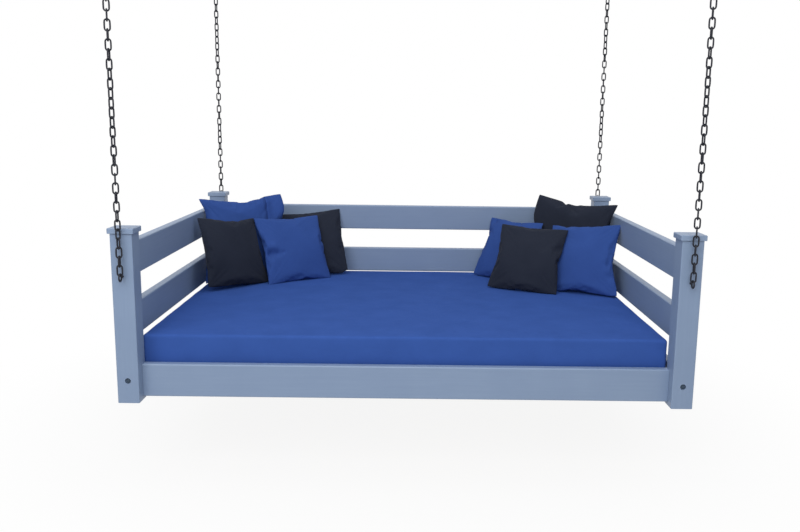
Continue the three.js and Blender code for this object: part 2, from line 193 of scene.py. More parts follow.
class SwingTimberSizes(bpy.types.PropertyGroup):
    post_ease: length("Post edge", "Rounding of a post's long edges", 0.004)
    rail_ease: length("Rail edge", "Rounding of a rail's long edges", 0.006)
    cap_ease: length("Cap edge", "Rounding of a cap's upper edges", 0.007)
    cap_corner: length("Cap corner", "Rounding of a cap's upright edges", 0.0035)
    end_ease: length("End edge", "Easing of a post's ends and a cap's underside", 0.002)
    slat_ease: length("Slat edge", "Rounding of a slat's long edges", 0.002)
    pine_ease: length("Beam edge", "Rounding of the long edges of the beam and cleats", 0.0025)
    ease_steps: IntProperty(
        name="Edge steps", description="Facets across a rounded edge", default=4, min=1, max=8
    )
    slat_count: IntProperty(
        name="Slats", description="Slats under the mattress", default=14, min=2, max=40
    )
    slat_width: length("Slat width", "Width of one slat", 0.089)
    strap_width: length("Strap width", "Width of the webbing that joins the slats", 0.038)
    strap_inset: length("Strap inset", "From the ends of the slats to a strap's middle", 0.32)
    strap_thickness: length("Strap thickness", "Thickness of the webbing", 0.0015)


class SwingSoftSizes(bpy.types.PropertyGroup):
    pillow_size: length("Pillow size", "From tip to tip of a pillow", 0.384)
    corner_pillow_size: length("Corner pillow size", "From tip to tip of a corner pillow", 0.462)
    pillow_plump: FloatProperty(
        name="Pillow plumpness", description="Thickness of a pillow as a share of its size",
        default=0.27, min=0.05, max=0.6,
    )
    pillow_cells: IntProperty(
        name="Pillow cells", description="Squares along one side of a pillow", default=64,
        min=8, max=96,
    )
    mattress_rounding: length("Mattress edge", "Rounding of the mattress's edges", 0.012)
    mattress_cell: length("Mattress cell", "Spacing of the mattress's mesh", 0.022)
    mattress_swell: length("Mattress swell", "Most that the cover swells over the foam", 0.003)


class SwingSteelSizes(bpy.types.PropertyGroup):
    link_pitch: length("Link pitch", "From the middle of one link to the next", 0.0362)
    link_width: length("Link width", "Width of a link over its wire", 0.0272)
    link_wire: length("Link wire", "Radius of a link's wire", 0.0035)
    eye_ring: length("Eye ring", "Radius of the screw eye to the middle of its wire", 0.0145)
    eye_wire: length("Eye wire", "Radius of the screw eye's wire", 0.0035)
    eye_shank: length("Eye shank", "Radius of the screw eye's shank", 0.00475)
    hanger_ring: length("Hanger ring", "Radius of the ceiling ring to its wire's middle", 0.02)
    hanger_wire: length("Hanger wire", "Radius of the ceiling ring's wire", 0.005)
    plate_corner: length("Plate corner", "Rounding of the ceiling plate's corners", 0.009)
    plate_ease: length("Plate edge", "Rounding of the ceiling plate's edges", 0.0008)
    plate_hole: length("Plate hole", "Radius of the ceiling plate's screw holes", 0.005)
    plate_hole_inset: length("Plate hole inset", "From the plate's end to a hole", 0.016)
    bolt_head: length("Bolt head", "Radius of the bolt's head over its corners", 0.0095)
    bolt_head_height: length("Bolt head height", "From the bolt's face to its flange", 0.0044)
    bolt_chamfer: length("Bolt chamfer", "Chamfer round the face of the bolt's head", 0.0009)
    bolt_flange: length("Bolt flange", "Radius of the bolt's flange", 0.0098)
    bolt_shank: length("Bolt shank", "Radius of the bolt's shank", 0.004)
    bolt_sink: length("Bolt recess", "Radius of the recess round the bolt's head", 0.012)
    bolt_sink_depth: length("Bolt recess depth", "Depth of that recess", 0.01)


class SwingColours(bpy.types.PropertyGroup):
    paint: colour("Paint", "Grey-blue enamel of the frame", "#7E91AD")
    paint_deep: colour("Paint, thick", "The enamel where it lies thick", "#7A8DAA")
    # The pale edge colour is partly thin paint and partly a painted highlight where the edges
    # catch light.
    paint_thin_with_edge_highlight: colour("Paint, thin", "The enamel where it runs thin over an edge", "#96A8BF")
    pine: colour("Pine", "Planed softwood, early wood", "#D0AD78")
    pine_ring: colour("Pine rings", "Planed softwood, late wood", "#A87F4C")
    webbing: colour("Webbing", "Natural jute webbing", "#B39A6E")
    mattress: colour("Mattress cloth", "Royal blue canvas of the mattress", "#37569D")
    blue: colour("Blue cloth", "Royal blue canvas of the pillows", "#314D8E")
    charcoal: colour("Charcoal cloth", "Charcoal canvas of the pillows", "#242936")
    steel: colour("Blackened steel", "Black oxide on steel", "#25272F")
    steel_rubbed: colour("Rubbed steel", "Steel where the links rub", "#46464C")
    # The bolts' blue-grey is partly grey steel and partly a painted reflection of the blue paint
    # round them.
    bolt: colour("Bolt steel", "Blued steel of the bolts", "#3C4A5A")
    floor: colour("Floor", "Matt white studio floor", "#DEDEDD")


# ---- Nodes and materials ----


def add_node(tree, kind, inputs=None, **settings):
    """Adds a node, gives it its settings, and sets or links its inputs."""
    made = tree.nodes.new(kind)
    for name, value in settings.items():
        setattr(made, name, value)
    for name, value in (inputs or {}).items():
        if isinstance(value, bpy.types.NodeSocket):
            tree.links.new(value, made.inputs[name])
        else:
            made.inputs[name].default_value = value
    return made


def new_material(name):
    """An empty material and its node tree, or None for the tree where it's already made."""
    found = bpy.data.materials.get(name)
    if found:
        return found, None
    made = bpy.data.materials.new(name)
    made.use_nodes = True
    made.node_tree.nodes.clear()
    return made, made.node_tree


def weave_height(tree, at, spacing):
    """The height of plain-woven yarns: two rows of waves across each other, from -1 to 1."""
    split = add_node(tree, "ShaderNodeSeparateXYZ", {0: at}).outputs
    waves = []
    for axis in (X_AXIS, Y_AXIS):
        turns = add_node(tree, "ShaderNodeMath", {
            0: split[axis], 1: math.pi / spacing,
        }, operation="MULTIPLY")
        waves.append(add_node(tree, "ShaderNodeMath", {0: turns.outputs[0]}, operation="SINE"))
    return add_node(tree, "ShaderNodeMath", {
        0: waves[0].outputs[0], 1: waves[1].outputs[0],
    }, operation="MULTIPLY").outputs[0]


def brushed_enamel(colours):
    """Satin enamel brushed over planed pine: fine brush marks along the board, the grain just
    showing through, and paler paint on the arrises: partly thinner paint, partly a painted
    highlight where the edges catch light."""
    material, tree = new_material("brushed_satin_enamel_on_pine")
    if not tree:
        return material
    at = add_node(tree, "ShaderNodeAttribute", attribute_name="board_at").outputs["Vector"]
    arris = add_node(tree, "ShaderNodeAttribute", attribute_name="arris").outputs["Fac"]
    # Grain: growth rings about 9 mm apart, drawn out along the board.
    grain_at = add_node(tree, "ShaderNodeMapping", {"Vector": at, "Scale": (3.2, 110, 110)})
    grain = add_node(tree, "ShaderNodeTexNoise", {
        "Vector": grain_at.outputs[0], "Scale": 1.0, "Detail": 3.0, "Distortion": 0.6,
    }).outputs["Fac"]
    # Bristle marks are under 1 mm apart. They're drawn 3 mm apart, so that they show at all.
    brush_at = add_node(tree, "ShaderNodeMapping", {"Vector": at, "Scale": (5, 330, 330)})
    brush = add_node(tree, "ShaderNodeTexNoise", {
        "Vector": brush_at.outputs[0], "Scale": 1.0, "Detail": 2.0,
    }).outputs["Fac"]
    mottle = add_node(tree, "ShaderNodeTexNoise", {
        "Vector": at, "Scale": 6.0, "Detail": 2.0,
    }).outputs["Fac"]
    thick = add_node(tree, "ShaderNodeMath", {0: grain, 1: mottle}, operation="MULTIPLY")
    thick = add_node(tree, "ShaderNodeMapRange", {
        "Value": thick.outputs[0], "From Min": 0.12, "From Max": 0.4,
    }).outputs[0]
    body = add_node(tree, "ShaderNodeMix", {
        0: thick, 6: colours.paint_deep, 7: colours.paint,
    }, data_type="RGBA").outputs[2]
    # Paler paint on the arrises: partly thin paint, partly a painted highlight where the edges
    # catch light.
    thin_paint_and_edge_highlight = add_node(tree, "ShaderNodeMath", {0: arris, 1: mottle}, operation="MULTIPLY")
    thin_paint_and_edge_highlight = add_node(tree, "ShaderNodeMapRange", {
        "Value": thin_paint_and_edge_highlight.outputs[0], "From Min": 0.3, "From Max": 0.7, "To Max": 0.35,
    }).outputs[0]
    paint = add_node(tree, "ShaderNodeMix", {
        0: thin_paint_and_edge_highlight, 6: body, 7: colours.paint_thin_with_edge_highlight,
    }, data_type="RGBA").outputs[2]
    gloss = add_node(tree, "ShaderNodeMapRange", {
        "Value": brush, "From Min": 0.3, "From Max": 0.7, "To Min": 0.4, "To Max": 0.47,
    }).outputs[0]
    relief = add_node(tree, "ShaderNodeMath", {0: brush, 1: grain}, operation="ADD").outputs[0]
    bump = add_node(tree, "ShaderNodeBump", {
        "Strength": 0.4, "Distance": 0.00007, "Height": relief,
    }).outputs[0]
    shader = add_node(tree, "ShaderNodeBsdfPrincipled", {
        "Base Color": paint, "Roughness": gloss, "IOR": 1.5, "Normal": bump,
    })
    add_node(tree, "ShaderNodeOutputMaterial", {"Surface": shader.outputs[0]})
    return material


def planed_pine(colours):
    """Planed softwood, left bare: straight grain of pale early and brown late wood, matt."""
    material, tree = new_material("planed_pine")
    if not tree:
        return material
    at = add_node(tree, "ShaderNodeAttribute", attribute_name="board_at").outputs["Vector"]
    # Growth rings a few millimetres apart, running the length of the board.
    ring_at = add_node(tree, "ShaderNodeMapping", {"Vector": at, "Scale": (1.5, 55, 55)})
    bend = add_node(tree, "ShaderNodeTexNoise", {
        "Vector": ring_at.outputs[0], "Scale": 1.0, "Detail": 2.0, "Distortion": 0.8,
    }).outputs["Fac"]
    rings = add_node(tree, "ShaderNodeMath", {0: bend, 1: 26.0}, operation="MULTIPLY")
    rings = add_node(tree, "ShaderNodeMath", {0: rings.outputs[0]}, operation="SINE").outputs[0]
    rings = add_node(tree, "ShaderNodeMapRange", {
        "Value": rings, "From Min": -1.0, "From Max": 1.0,
    }).outputs[0]
    fibre_at = add_node(tree, "ShaderNodeMapping", {"Vector": at, "Scale": (12, 900, 900)})
    fibre = add_node(tree, "ShaderNodeTexNoise", {
        "Vector": fibre_at.outputs[0], "Scale": 1.0, "Detail": 2.0,
    }).outputs["Fac"]
    dark = add_node(tree, "ShaderNodeMath", {0: rings, 1: fibre}, operation="MULTIPLY")
    wood = add_node(tree, "ShaderNodeMix", {
        0: dark.outputs[0], 6: colours.pine, 7: colours.pine_ring,
    }, data_type="RGBA").outputs[2]
    dull = add_node(tree, "ShaderNodeMapRange", {
        "Value": fibre, "To Min": 0.6, "To Max": 0.78,
    }).outputs[0]
    bump = add_node(tree, "ShaderNodeBump", {
        "Strength": 0.5, "Distance": 0.0002, "Height": fibre,
    }).outputs[0]
    shader = add_node(tree, "ShaderNodeBsdfPrincipled", {
        "Base Color": wood, "Roughness": dull, "IOR": 1.5, "Normal": bump,
    })
    add_node(tree, "ShaderNodeOutputMaterial", {"Surface": shader.outputs[0]})
    return material


def jute_webbing(colours):
    """Woven jute webbing: coarse matt yarns across and along the strap."""
    material, tree = new_material("woven_jute_webbing")
    if not tree:
        return material
    at = add_node(tree, "ShaderNodeTexCoord").outputs["Object"]
    weave = weave_height(tree, at, spacing=0.003)
    fuzz = add_node(tree, "ShaderNodeTexNoise", {"Vector": at, "Scale": 400.0}).outputs["Fac"]
    # The yarns are painted darker and lighter with the weave's relief: painted shade that follows
    # the weave.
    lit = add_node(tree, "ShaderNodeMapRange", {
        "Value": weave, "From Min": -1.0, "From Max": 1.0, "To Min": 0.0, "To Max": 0.5,
    }).outputs[0]
    shade = add_node(tree, "ShaderNodeMath", {0: lit, 1: fuzz}, operation="MULTIPLY").outputs[0]
    yarn = add_node(tree, "ShaderNodeMix", {
        0: shade, 6: colours.webbing, 7: colours.pine_ring,
    }, data_type="RGBA").outputs[2]
    bump = add_node(tree, "ShaderNodeBump", {
        "Strength": 0.7, "Distance": 0.0006, "Height": weave,
    }).outputs[0]
    shader = add_node(tree, "ShaderNodeBsdfPrincipled", {
        "Base Color": yarn, "Roughness": 0.95, "IOR": 1.45, "Sheen Weight": 0.2, "Normal": bump,
    })
    add_node(tree, "ShaderNodeOutputMaterial", {"Surface": shader.outputs[0]})
    return material


def woven_canvas(name, dyed, spacing, gloss, sheen):
    """Plain-woven outdoor canvas: matt, with a soft sheen from its fibres, slubs in the yarn,
    and puckers where it runs into a seam."""
    material, tree = new_material(name)
    if not tree:
        return material
    at = add_node(tree, "ShaderNodeUVMap", uv_map="cloth").outputs[0]
    place = add_node(tree, "ShaderNodeTexCoord").outputs["Object"]
    from_seam = add_node(tree, "ShaderNodeAttribute", attribute_name="from_seam").outputs["Fac"]
    # Real threads are about 0.5 mm apart. The weave is drawn coarser than life, so that it shows.
    weave = weave_height(tree, at, spacing)
    # Slubs: thicker runs of yarn, 1.5 mm wide and 30 mm long, both ways.
    slubs = []
    for scale in ((33, 650, 1), (650, 33, 1)):
        slub_at = add_node(tree, "ShaderNodeMapping", {"Vector": at, "Scale": scale})
        slubs.append(add_node(tree, "ShaderNodeTexNoise", {
            "Vector": slub_at.outputs[0], "Scale": 1.0, "Detail": 1.0,
        }).outputs["Fac"])
    slub = add_node(tree, "ShaderNodeMath", {0: slubs[0], 1: slubs[1]}, operation="MULTIPLY")
    cloud = add_node(tree, "ShaderNodeTexNoise", {
        "Vector": place, "Scale": 9.0, "Detail": 3.0,
    }).outputs["Fac"]
    tone = add_node(tree, "ShaderNodeMath", {
        0: slub.outputs[0], 1: 0.7, 2: cloud,
    }, operation="MULTIPLY_ADD").outputs[0]
    tone = add_node(tree, "ShaderNodeMapRange", {
        "Value": tone, "From Min": 0.4, "From Max": 1.0,
    }).outputs[0]
    dark, pale = (tuple(c * dye for c in dyed[:3]) + (1.0,) for dye in (0.94, 1.06))
    cloth = add_node(tree, "ShaderNodeMix", {
        0: tone, 6: dark, 7: pale,
    }, data_type="RGBA").outputs[2]
    # The cloth puckers within 30 mm of a seam.
    near = add_node(tree, "ShaderNodeMapRange", {
        "Value": from_seam, "From Min": 0.002, "From Max": 0.03, "To Min": 1.0, "To Max": 0.0,
    }, interpolation_type="SMOOTHSTEP").outputs[0]
    pucker = add_node(tree, "ShaderNodeTexNoise", {
        "Vector": place, "Scale": 75.0, "Detail": 1.0,
    }).outputs["Fac"]
    pucker = add_node(tree, "ShaderNodeMath", {0: pucker, 1: near}, operation="MULTIPLY")
    soft = add_node(tree, "ShaderNodeTexNoise", {
        "Vector": place, "Scale": 22.0, "Detail": 2.0, "Roughness": 0.45,
    }).outputs["Fac"]
    rough = add_node(tree, "ShaderNodeMapRange", {
        "Value": tone, "To Min": 0.92, "To Max": 0.8,
    }).outputs[0]
    big = add_node(tree, "ShaderNodeBump", {
        "Strength": 0.35, "Distance": 0.004, "Height": soft,
    }).outputs[0]
    gathered = add_node(tree, "ShaderNodeBump", {
        "Strength": 0.6, "Distance": 0.003, "Height": pucker.outputs[0], "Normal": big,
    }).outputs[0]
    bump = add_node(tree, "ShaderNodeBump", {
        "Strength": 0.4, "Distance": 0.0003, "Height": weave, "Normal": gathered,
    }).outputs[0]
    shader = add_node(tree, "ShaderNodeBsdfPrincipled", {
        "Base Color": cloth, "Roughness": rough, "IOR": 1.45, "Normal": bump,
        "Specular IOR Level": gloss, "Sheen Weight": sheen, "Sheen Roughness": 0.5,
    })
    add_node(tree, "ShaderNodeOutputMaterial", {"Surface": shader.outputs[0]})
    return material


def cloth_for(colours, name):
    """The cloth of a pillow or of the mattress: its name, spacing of threads, gloss and sheen."""
    return woven_canvas(*{
        "charcoal": ("charcoal_plain_woven_canvas", colours.charcoal, 0.0022, 0.12, 0.02),
        "blue": ("blue_plain_woven_canvas", colours.blue, 0.0022, 0.12, 0.01),
        "mattress": ("blue_heavy_duck_canvas", colours.mattress, 0.003, 0.06, 0.0),
    }[name])


def blackened_steel(colours, name="black_oxide_steel", painted_reflection_tint=None):
    """Steel with a black oxide finish: dark and satin, with bare bright metal where links and
    rings rub on each other. The bolts have the same finish, with a blue-grey tint that is partly
    grey steel and partly a painted reflection of the blue paint round them."""
    material, tree = new_material(name)
    if not tree:
        return material
    place = add_node(tree, "ShaderNodeTexCoord").outputs["Object"]
    rub = add_node(tree, "ShaderNodeAttribute", attribute_name="rubbed").outputs["Fac"]
    # Blotches of oxide 6 mm across, and a fine grit of 1 mm.
    blotch = add_node(tree, "ShaderNodeTexNoise", {
        "Vector": place, "Scale": 160.0, "Detail": 3.0,
    }).outputs["Fac"]
    grit = add_node(tree, "ShaderNodeTexNoise", {
        "Vector": place, "Scale": 1000.0, "Detail": 1.0,
    }).outputs["Fac"]
    bare = add_node(tree, "ShaderNodeMath", {0: rub, 1: blotch}, operation="MULTIPLY").outputs[0]
    bare = add_node(tree, "ShaderNodeMapRange", {
        "Value": bare, "From Min": 0.3, "From Max": 0.65, "To Max": 0.6,
    }).outputs[0]
    metal = add_node(tree, "ShaderNodeMix", {
        0: bare, 6: painted_reflection_tint or colours.steel, 7: colours.steel_rubbed,
    }, data_type="RGBA").outputs[2]
    satin = add_node(tree, "ShaderNodeMapRange", {
        "Value": blotch, "From Min": 0.3, "From Max": 0.7, "To Min": 0.45, "To Max": 0.6,
    }).outputs[0]
    bump = add_node(tree, "ShaderNodeBump", {
        "Strength": 0.4, "Distance": 0.0002, "Height": grit,
    }).outputs[0]
    shader = add_node(tree, "ShaderNodeBsdfPrincipled", {
        "Base Color": metal, "Roughness": satin, "Specular IOR Level": 0.2, "Normal": bump,
    })
    add_node(tree, "ShaderNodeOutputMaterial", {"Surface": shader.outputs[0]})
    return material


# ---- Meshes ----


def ease(bm, edges, width, steps):
    """Rounds edges with the given radius."""
    bmesh.ops.bevel(
        bm, geom=edges, offset=width, offset_type="OFFSET", affect="EDGES", segments=steps,
        profile=0.5, material=-1, clamp_overlap=True,
    )


def block(bm, low, high):
    """Adds a box between two corners and returns its vertices."""
    low, high = Vector(low), Vector(high)
    verts = bmesh.ops.create_cube(bm, size=1)["verts"]
    bmesh.ops.scale(bm, vec=high - low, verts=verts)
    bmesh.ops.translate(bm, vec=(low + high) / 2, verts=verts)
    return verts


def edges_of(verts):
    """Every edge that ends at one of some vertices."""
    return {e for v in verts for e in v.link_edges}


def edges_along(edges, axis):
    """Of some edges of a block, those that run along an axis."""
    return [e for e in edges if abs(e.verts[0].co[axis] - e.verts[1].co[axis]) > SAME]


def edges_at(edges, axis, *levels):
    """Of some edges, those that lie wholly at one of the given levels along an axis."""
    return [
        e for e in edges
        if any(all(abs(v.co[axis] - level) < SAME for v in e.verts) for level in levels)
    ]


def added_since(bm, before):
    """The vertices of a bmesh that aren't in an earlier set of them."""
    return [v for v in bm.verts if v not in before]


def board(bm, low, high, along, width, steps, end_width=0.0):
    """Adds a board with its long edges rounded, and its ends eased if a width is given."""
    verts = block(bm, low, high)
    before = set(bm.verts) - set(verts)
    ease(bm, edges_along(edges_of(verts), along), width, steps)
    if end_width:
        edges = edges_of(added_since(bm, before))
        ease(bm, edges_at(edges, along, low[along], high[along]), end_width, 2)


def rod(bm, start, end, radius, sides):
    """Adds a closed cylinder between two points and returns its vertices."""
    start, end = Vector(start), Vector(end)
    run = end - start
    turn = run.to_track_quat("Z", "Y").to_matrix().to_4x4()
    return bmesh.ops.create_cone(
        bm, cap_ends=True, cap_tris=False, segments=sides, radius1=radius, radius2=radius,
        depth=run.length, matrix=Matrix.Translation((start + end) / 2) @ turn,
    )["verts"]


def revolve(bm, line, centre, axis, steps):
    """Sweeps a line of vertices once round an axis and returns the vertices of the shape."""
    before = set(bm.verts) - set(line)
    bmesh.ops.spin(
        bm, geom=line + list(edges_of(line)), cent=centre, axis=axis, angle=2 * math.pi,
        steps=steps, use_merge=True,
    )
    bmesh.ops.remove_doubles(bm, verts=added_since(bm, before), dist=SAME)
    made = added_since(bm, before)
    bmesh.ops.recalc_face_normals(bm, faces=list({f for v in made for f in v.link_faces}))
    return made


def hoop(bm, centre, axis, radius, wire, steps, sides):
    """Adds a closed ring of round wire about an axis and returns its vertices."""
    centre, axis = Vector(centre), Vector(axis)
    out = axis.orthogonal().normalized()
    turn = out.cross(axis).to_track_quat("Z", "Y").to_matrix().to_4x4()
    start = bmesh.ops.create_circle(
        bm, segments=sides, radius=wire, cap_ends=False,
        matrix=Matrix.Translation(centre + out * radius) @ turn,
    )["verts"]
    return revolve(bm, start, centre, axis, steps)


def lathe(bm, points, start, axis, sides):
    """Turns a closed shape from pairs of distance along the axis and radius."""
    axis = Vector(axis).normalized()
    out = axis.orthogonal().normalized()
    start = Vector(start)
    line = [bm.verts.new(start + axis * along + out * radius) for along, radius in points]
    for pair in zip(line, line[1:]):
        bm.edges.new(pair)
    return revolve(bm, line, start, axis, sides)


def mesh_from(name, bm):
    """Turns a bmesh into a mesh and frees it."""
    mesh = bpy.data.meshes.new(name)
    bm.to_mesh(mesh)
    bm.free()
    return mesh


def put_in_scene(name, data):
    """Makes an object of a mesh, a light or a camera, and adds it to the scene."""
    made = bpy.data.objects.new(name, data)
    bpy.context.scene.collection.objects.link(made)
    return made


def shade(mesh, sharp=SHARP):
    """Shades a mesh smooth, all but the edges that turn by more than an angle in degrees."""
    mesh.polygons.foreach_set("use_smooth", [True] * len(mesh.polygons))
    mesh.set_sharp_from_angle(angle=math.radians(sharp))


def subdivide(made):
    """Smooths the form of a piece by one level of subdivision."""
    smooth = made.modifiers.new("smooth", "SUBSURF")
    smooth.levels = smooth.render_levels = 1


def piece(name, bm, material, nodes, sharp=SHARP, even=False):
    """Makes a piece from a bmesh. It rides with the CAD nodes that it stands for."""
    mesh = mesh_from(name, bm)
    mesh.materials.append(material)
    shade(mesh, sharp)
    made = put_in_scene(name, mesh)
    if even:
        made.modifiers.new("even_normals", "WEIGHTED_NORMAL").keep_sharp = True
    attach(made, frame["nodes"][nodes[0]]["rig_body"])
    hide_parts(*nodes)
    return made


def painted_board(node, bm):
    """Makes the painted piece that stands for one CAD board, post or cap."""
    enamel = brushed_enamel(bpy.context.scene.swing_colours)
    return piece(f"{node}_timber", bm, enamel, [node], even=True)


def cut(made, cutters):
    """Cuts closed shapes, given as one bmesh each, out of a piece."""
    tools = []
    for bm in cutters:
        tool = put_in_scene("cutter", mesh_from("cutter", bm))
        tools.append(tool)
        modifier = made.modifiers.new("hole", "BOOLEAN")
        modifier.operation = "DIFFERENCE"
        modifier.solver = "EXACT"
        modifier.object = tool
    bpy.context.view_layer.update()
    graph = bpy.context.evaluated_depsgraph_get()
    old = made.data
    keep = [m for m in made.modifiers if m.type != "BOOLEAN"]
    for modifier in keep:
        modifier.show_viewport = False
    bpy.context.view_layer.update()
    made.data = bpy.data.meshes.new_from_object(made.evaluated_get(graph))
    for modifier in [m for m in made.modifiers if m.type == "BOOLEAN"]:
        made.modifiers.remove(modifier)
    for modifier in keep:
        modifier.show_viewport = True
    for tool in tools:
        bpy.data.objects.remove(tool)
    bpy.data.meshes.remove(old)
    shade(made.data)


def bore(at, axis, start, end, radius, sides=32):
    """A cutter in a bmesh of its own: a rod through a point, between two levels of an axis."""
    ends = [Vector(at), Vector(at)]
    ends[0][axis], ends[1][axis] = start, end
    bm = bmesh.new()
    rod(bm, ends[0], ends[1], radius, sides)
    return bm


def mark_board(made, low, high, along, width, seed):
    """Stores, for the wood and its paint, where each point lies in its board: along it, across
    it and through it. Also stores how far onto a rounded arris the point is."""
    low, high = Vector(low), Vector(high)
    middle, half = (low + high) / 2, (high - low) / 2
    across, through = [a for a in AXES if a != along]
    draw = random.Random(seed)
    shift = [draw.uniform(0, 40) for _ in AXES]
    places, edges = [], []
    for vertex in made.data.vertices:
        at = vertex.co - middle
        places += [at[along] + shift[0], at[across] + shift[1], at[through] + shift[2]]
        near = [1 - (half[a] - abs(at[a])) / width for a in (across, through)]
        edges.append(max(0.0, min(1.0, min(near) / 0.7)))
    store = made.data.attributes.new("board_at", "FLOAT_VECTOR", "POINT")
    store.data.foreach_set("vector", places)
    store_values(made, "arris", edges)


def store_values(made, name, values):
    """Stores one number for each vertex."""
    made.data.attributes.new(name, "FLOAT", "POINT").data.foreach_set("value", values)


def store_rubbed(made, spot, reach):
    """Stores how bare the steel is rubbed: wholly at a spot, and not at all past a reach."""
    store_values(made, "rubbed", [
        max(0.0, 1 - (v.co - spot).length / reach) for v in made.data.vertices
    ])


def centre_of(node):
    """The middle of a CAD node's box."""
    low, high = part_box(node)
    return (low + high) / 2


def inwards(end, low, high):
    """The way into the bed along Y from its front or back, as 1 or -1, and where a box starts
    and stops on that way."""
    return (1, low.y, high.y) if end.startswith("front") else (-1, high.y, low.y)


# ---- Operators ----


class PORCHSWING_OT_posts(bpy.types.Operator):
    """Builds the four posts, with their bolt recesses and the holes for the screw eyes"""

    bl_idname = "porch_swing.posts"
    bl_label = "Posts"

    def execute(self, context):
        scene = context.scene
        timber, steel = scene.swing_timber, scene.swing_steel
        for index, corner in enumerate(CORNERS):
            node = f"{corner}_post"
            low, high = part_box(node)
            bm = bmesh.new()
            board(bm, low, high, Z_AXIS, timber.post_ease, timber.ease_steps, timber.end_ease)
            made = painted_board(node, bm)
            inward, face, back = inwards(corner, low, high)
            tip = inwards(corner, *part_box(f"{corner}_screw_eye"))[2]
            bolt, eye = centre_of(f"{corner}_bolt"), centre_of(f"{corner}_screw_eye")
            outside, sink = face - inward * OVERRUN, inward * steel.bolt_sink_depth
            cut(made, [
                bore(bolt, Y_AXIS, outside, face + sink, steel.bolt_sink),
                bore(bolt, Y_AXIS, face + sink / 2, back + inward * OVERRUN,
                     steel.bolt_shank + BOLT_ROOM),
                bore(eye, Y_AXIS, outside, tip + inward * TIP_ROOM, steel.eye_shank + EYE_ROOM),
            ])
            mark_board(made, low, high, Z_AXIS, timber.post_ease, index)
        return {"FINISHED"}


class PORCHSWING_OT_caps(bpy.types.Operator):
    """Builds the four post caps, with their upper edges rounded over"""

    bl_idname = "porch_swing.caps"
    bl_label = "Caps"

    def execute(self, context):
        timber = context.scene.swing_timber
        for index, corner in enumerate(CORNERS):
            node = f"{corner}_cap"
            low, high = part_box(node)
            bm = bmesh.new()
            block(bm, low, high)
            ease(bm, edges_along(bm.edges, Z_AXIS), timber.cap_corner, 3)
            ease(bm, edges_at(bm.edges, Z_AXIS, high.z), timber.cap_ease, timber.ease_steps + 1)
            ease(bm, edges_at(bm.edges, Z_AXIS, low.z), timber.end_ease, 2)
            made = painted_board(node, bm)
            mark_board(made, low, high, X_AXIS, timber.cap_ease, 10 + index)
        return {"FINISHED"}


class PORCHSWING_OT_rails(bpy.types.Operator):
    """Builds the ten boards between the posts"""

    bl_idname = "porch_swing.rails"
    bl_label = "Rails"

    def execute(self, context):
        scene = context.scene
        timber, steel = scene.swing_timber, scene.swing_steel
        for index, (node, along) in enumerate(BOARDS.items()):
            low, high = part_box(node)
            bm = bmesh.new()
            board(bm, low, high, along, timber.rail_ease, timber.ease_steps)
            made = painted_board(node, bm)
            if along == Y_AXIS and "bottom" in node:
                # The bolts run through the posts into the ends of these two rails.
                side = node.split("_")[0]
                bores = []
                for end in ("front", "back"):
                    bolt = f"{end}_{side}_bolt"
                    inward, face, _ = inwards(end, low, high)
                    tip = inwards(end, *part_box(bolt))[2]
                    bores.append(bore(
                        centre_of(bolt), Y_AXIS, face - inward * OVERRUN,
                        tip + inward * TIP_ROOM, steel.bolt_shank + BOLT_ROOM,
                    ))
                cut(made, bores)
            mark_board(made, low, high, along, timber.rail_ease, 20 + index)
        return {"FINISHED"}


class PORCHSWING_OT_base(bpy.types.Operator):
    """Builds the slats, the webbing that joins them, the cleats and the centre beam"""

    bl_idname = "porch_swing.base"
    bl_label = "Base"

    def execute(self, context):
        scene = context.scene
        timber = scene.swing_timber
        pine = planed_pine(scene.swing_colours)
        for index, node in enumerate(("front_cleat", "back_cleat", "centre_beam")):
            low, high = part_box(node)
            bm = bmesh.new()
            board(bm, low, high, X_AXIS, timber.pine_ease, 2)
            made = piece(f"{node}_timber", bm, pine, [node], even=True)
            mark_board(made, low, high, X_AXIS, timber.pine_ease, 40 + index)
        low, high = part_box("slat_base")
        top = high.z - timber.strap_thickness
        run = high.x - low.x - timber.slat_width
        bays = timber.slat_count - 1
        bm = bmesh.new()
        for index in range(timber.slat_count):
            start = low.x + run * index / bays
            board(
                bm, (start, low.y, low.z), (start + timber.slat_width, high.y, top), Y_AXIS,
                timber.slat_ease, 2,
            )
        made = piece("slats", bm, pine, ["slat_base"], even=True)
        mark_board(made, low, high, Y_AXIS, timber.slat_ease, 50)
        self.straps(scene, low, high, run, bays)
        return {"FINISHED"}

    @staticmethod
    def straps(scene, low, high, run, bays):
        """Lays the two straps of webbing over the slats, with a little sag in each bay."""
        timber = scene.swing_timber
        end_room, room, sag = 0.005, 0.0001, 0.0012
        bm = bmesh.new()
        cells = 6 * bays
        for inset in (timber.strap_inset, high.y - low.y - timber.strap_inset):
            verts = bmesh.ops.create_grid(bm, x_segments=cells, y_segments=4, size=0.5)["verts"]
            bmesh.ops.scale(
                bm, vec=(high.x - low.x - 2 * end_room, timber.strap_width, 1), verts=verts)
            for vertex in verts:
                bay = (vertex.co.x / run + 0.5) * bays
                if 0 < bay < cells:
                    vertex.co.z -= sag * math.sin(math.pi * (bay % 1.0)) ** 2
            bmesh.ops.translate(
                bm, vec=((low.x + high.x) / 2, low.y + inset, high.z - room), verts=verts)
        made = piece("slat_webbing", bm, jute_webbing(scene.swing_colours),
                     ["slat_base"])
        thick = made.modifiers.new("thickness", "SOLIDIFY")
        thick.thickness = timber.strap_thickness - 2 * room
        thick.offset = -1


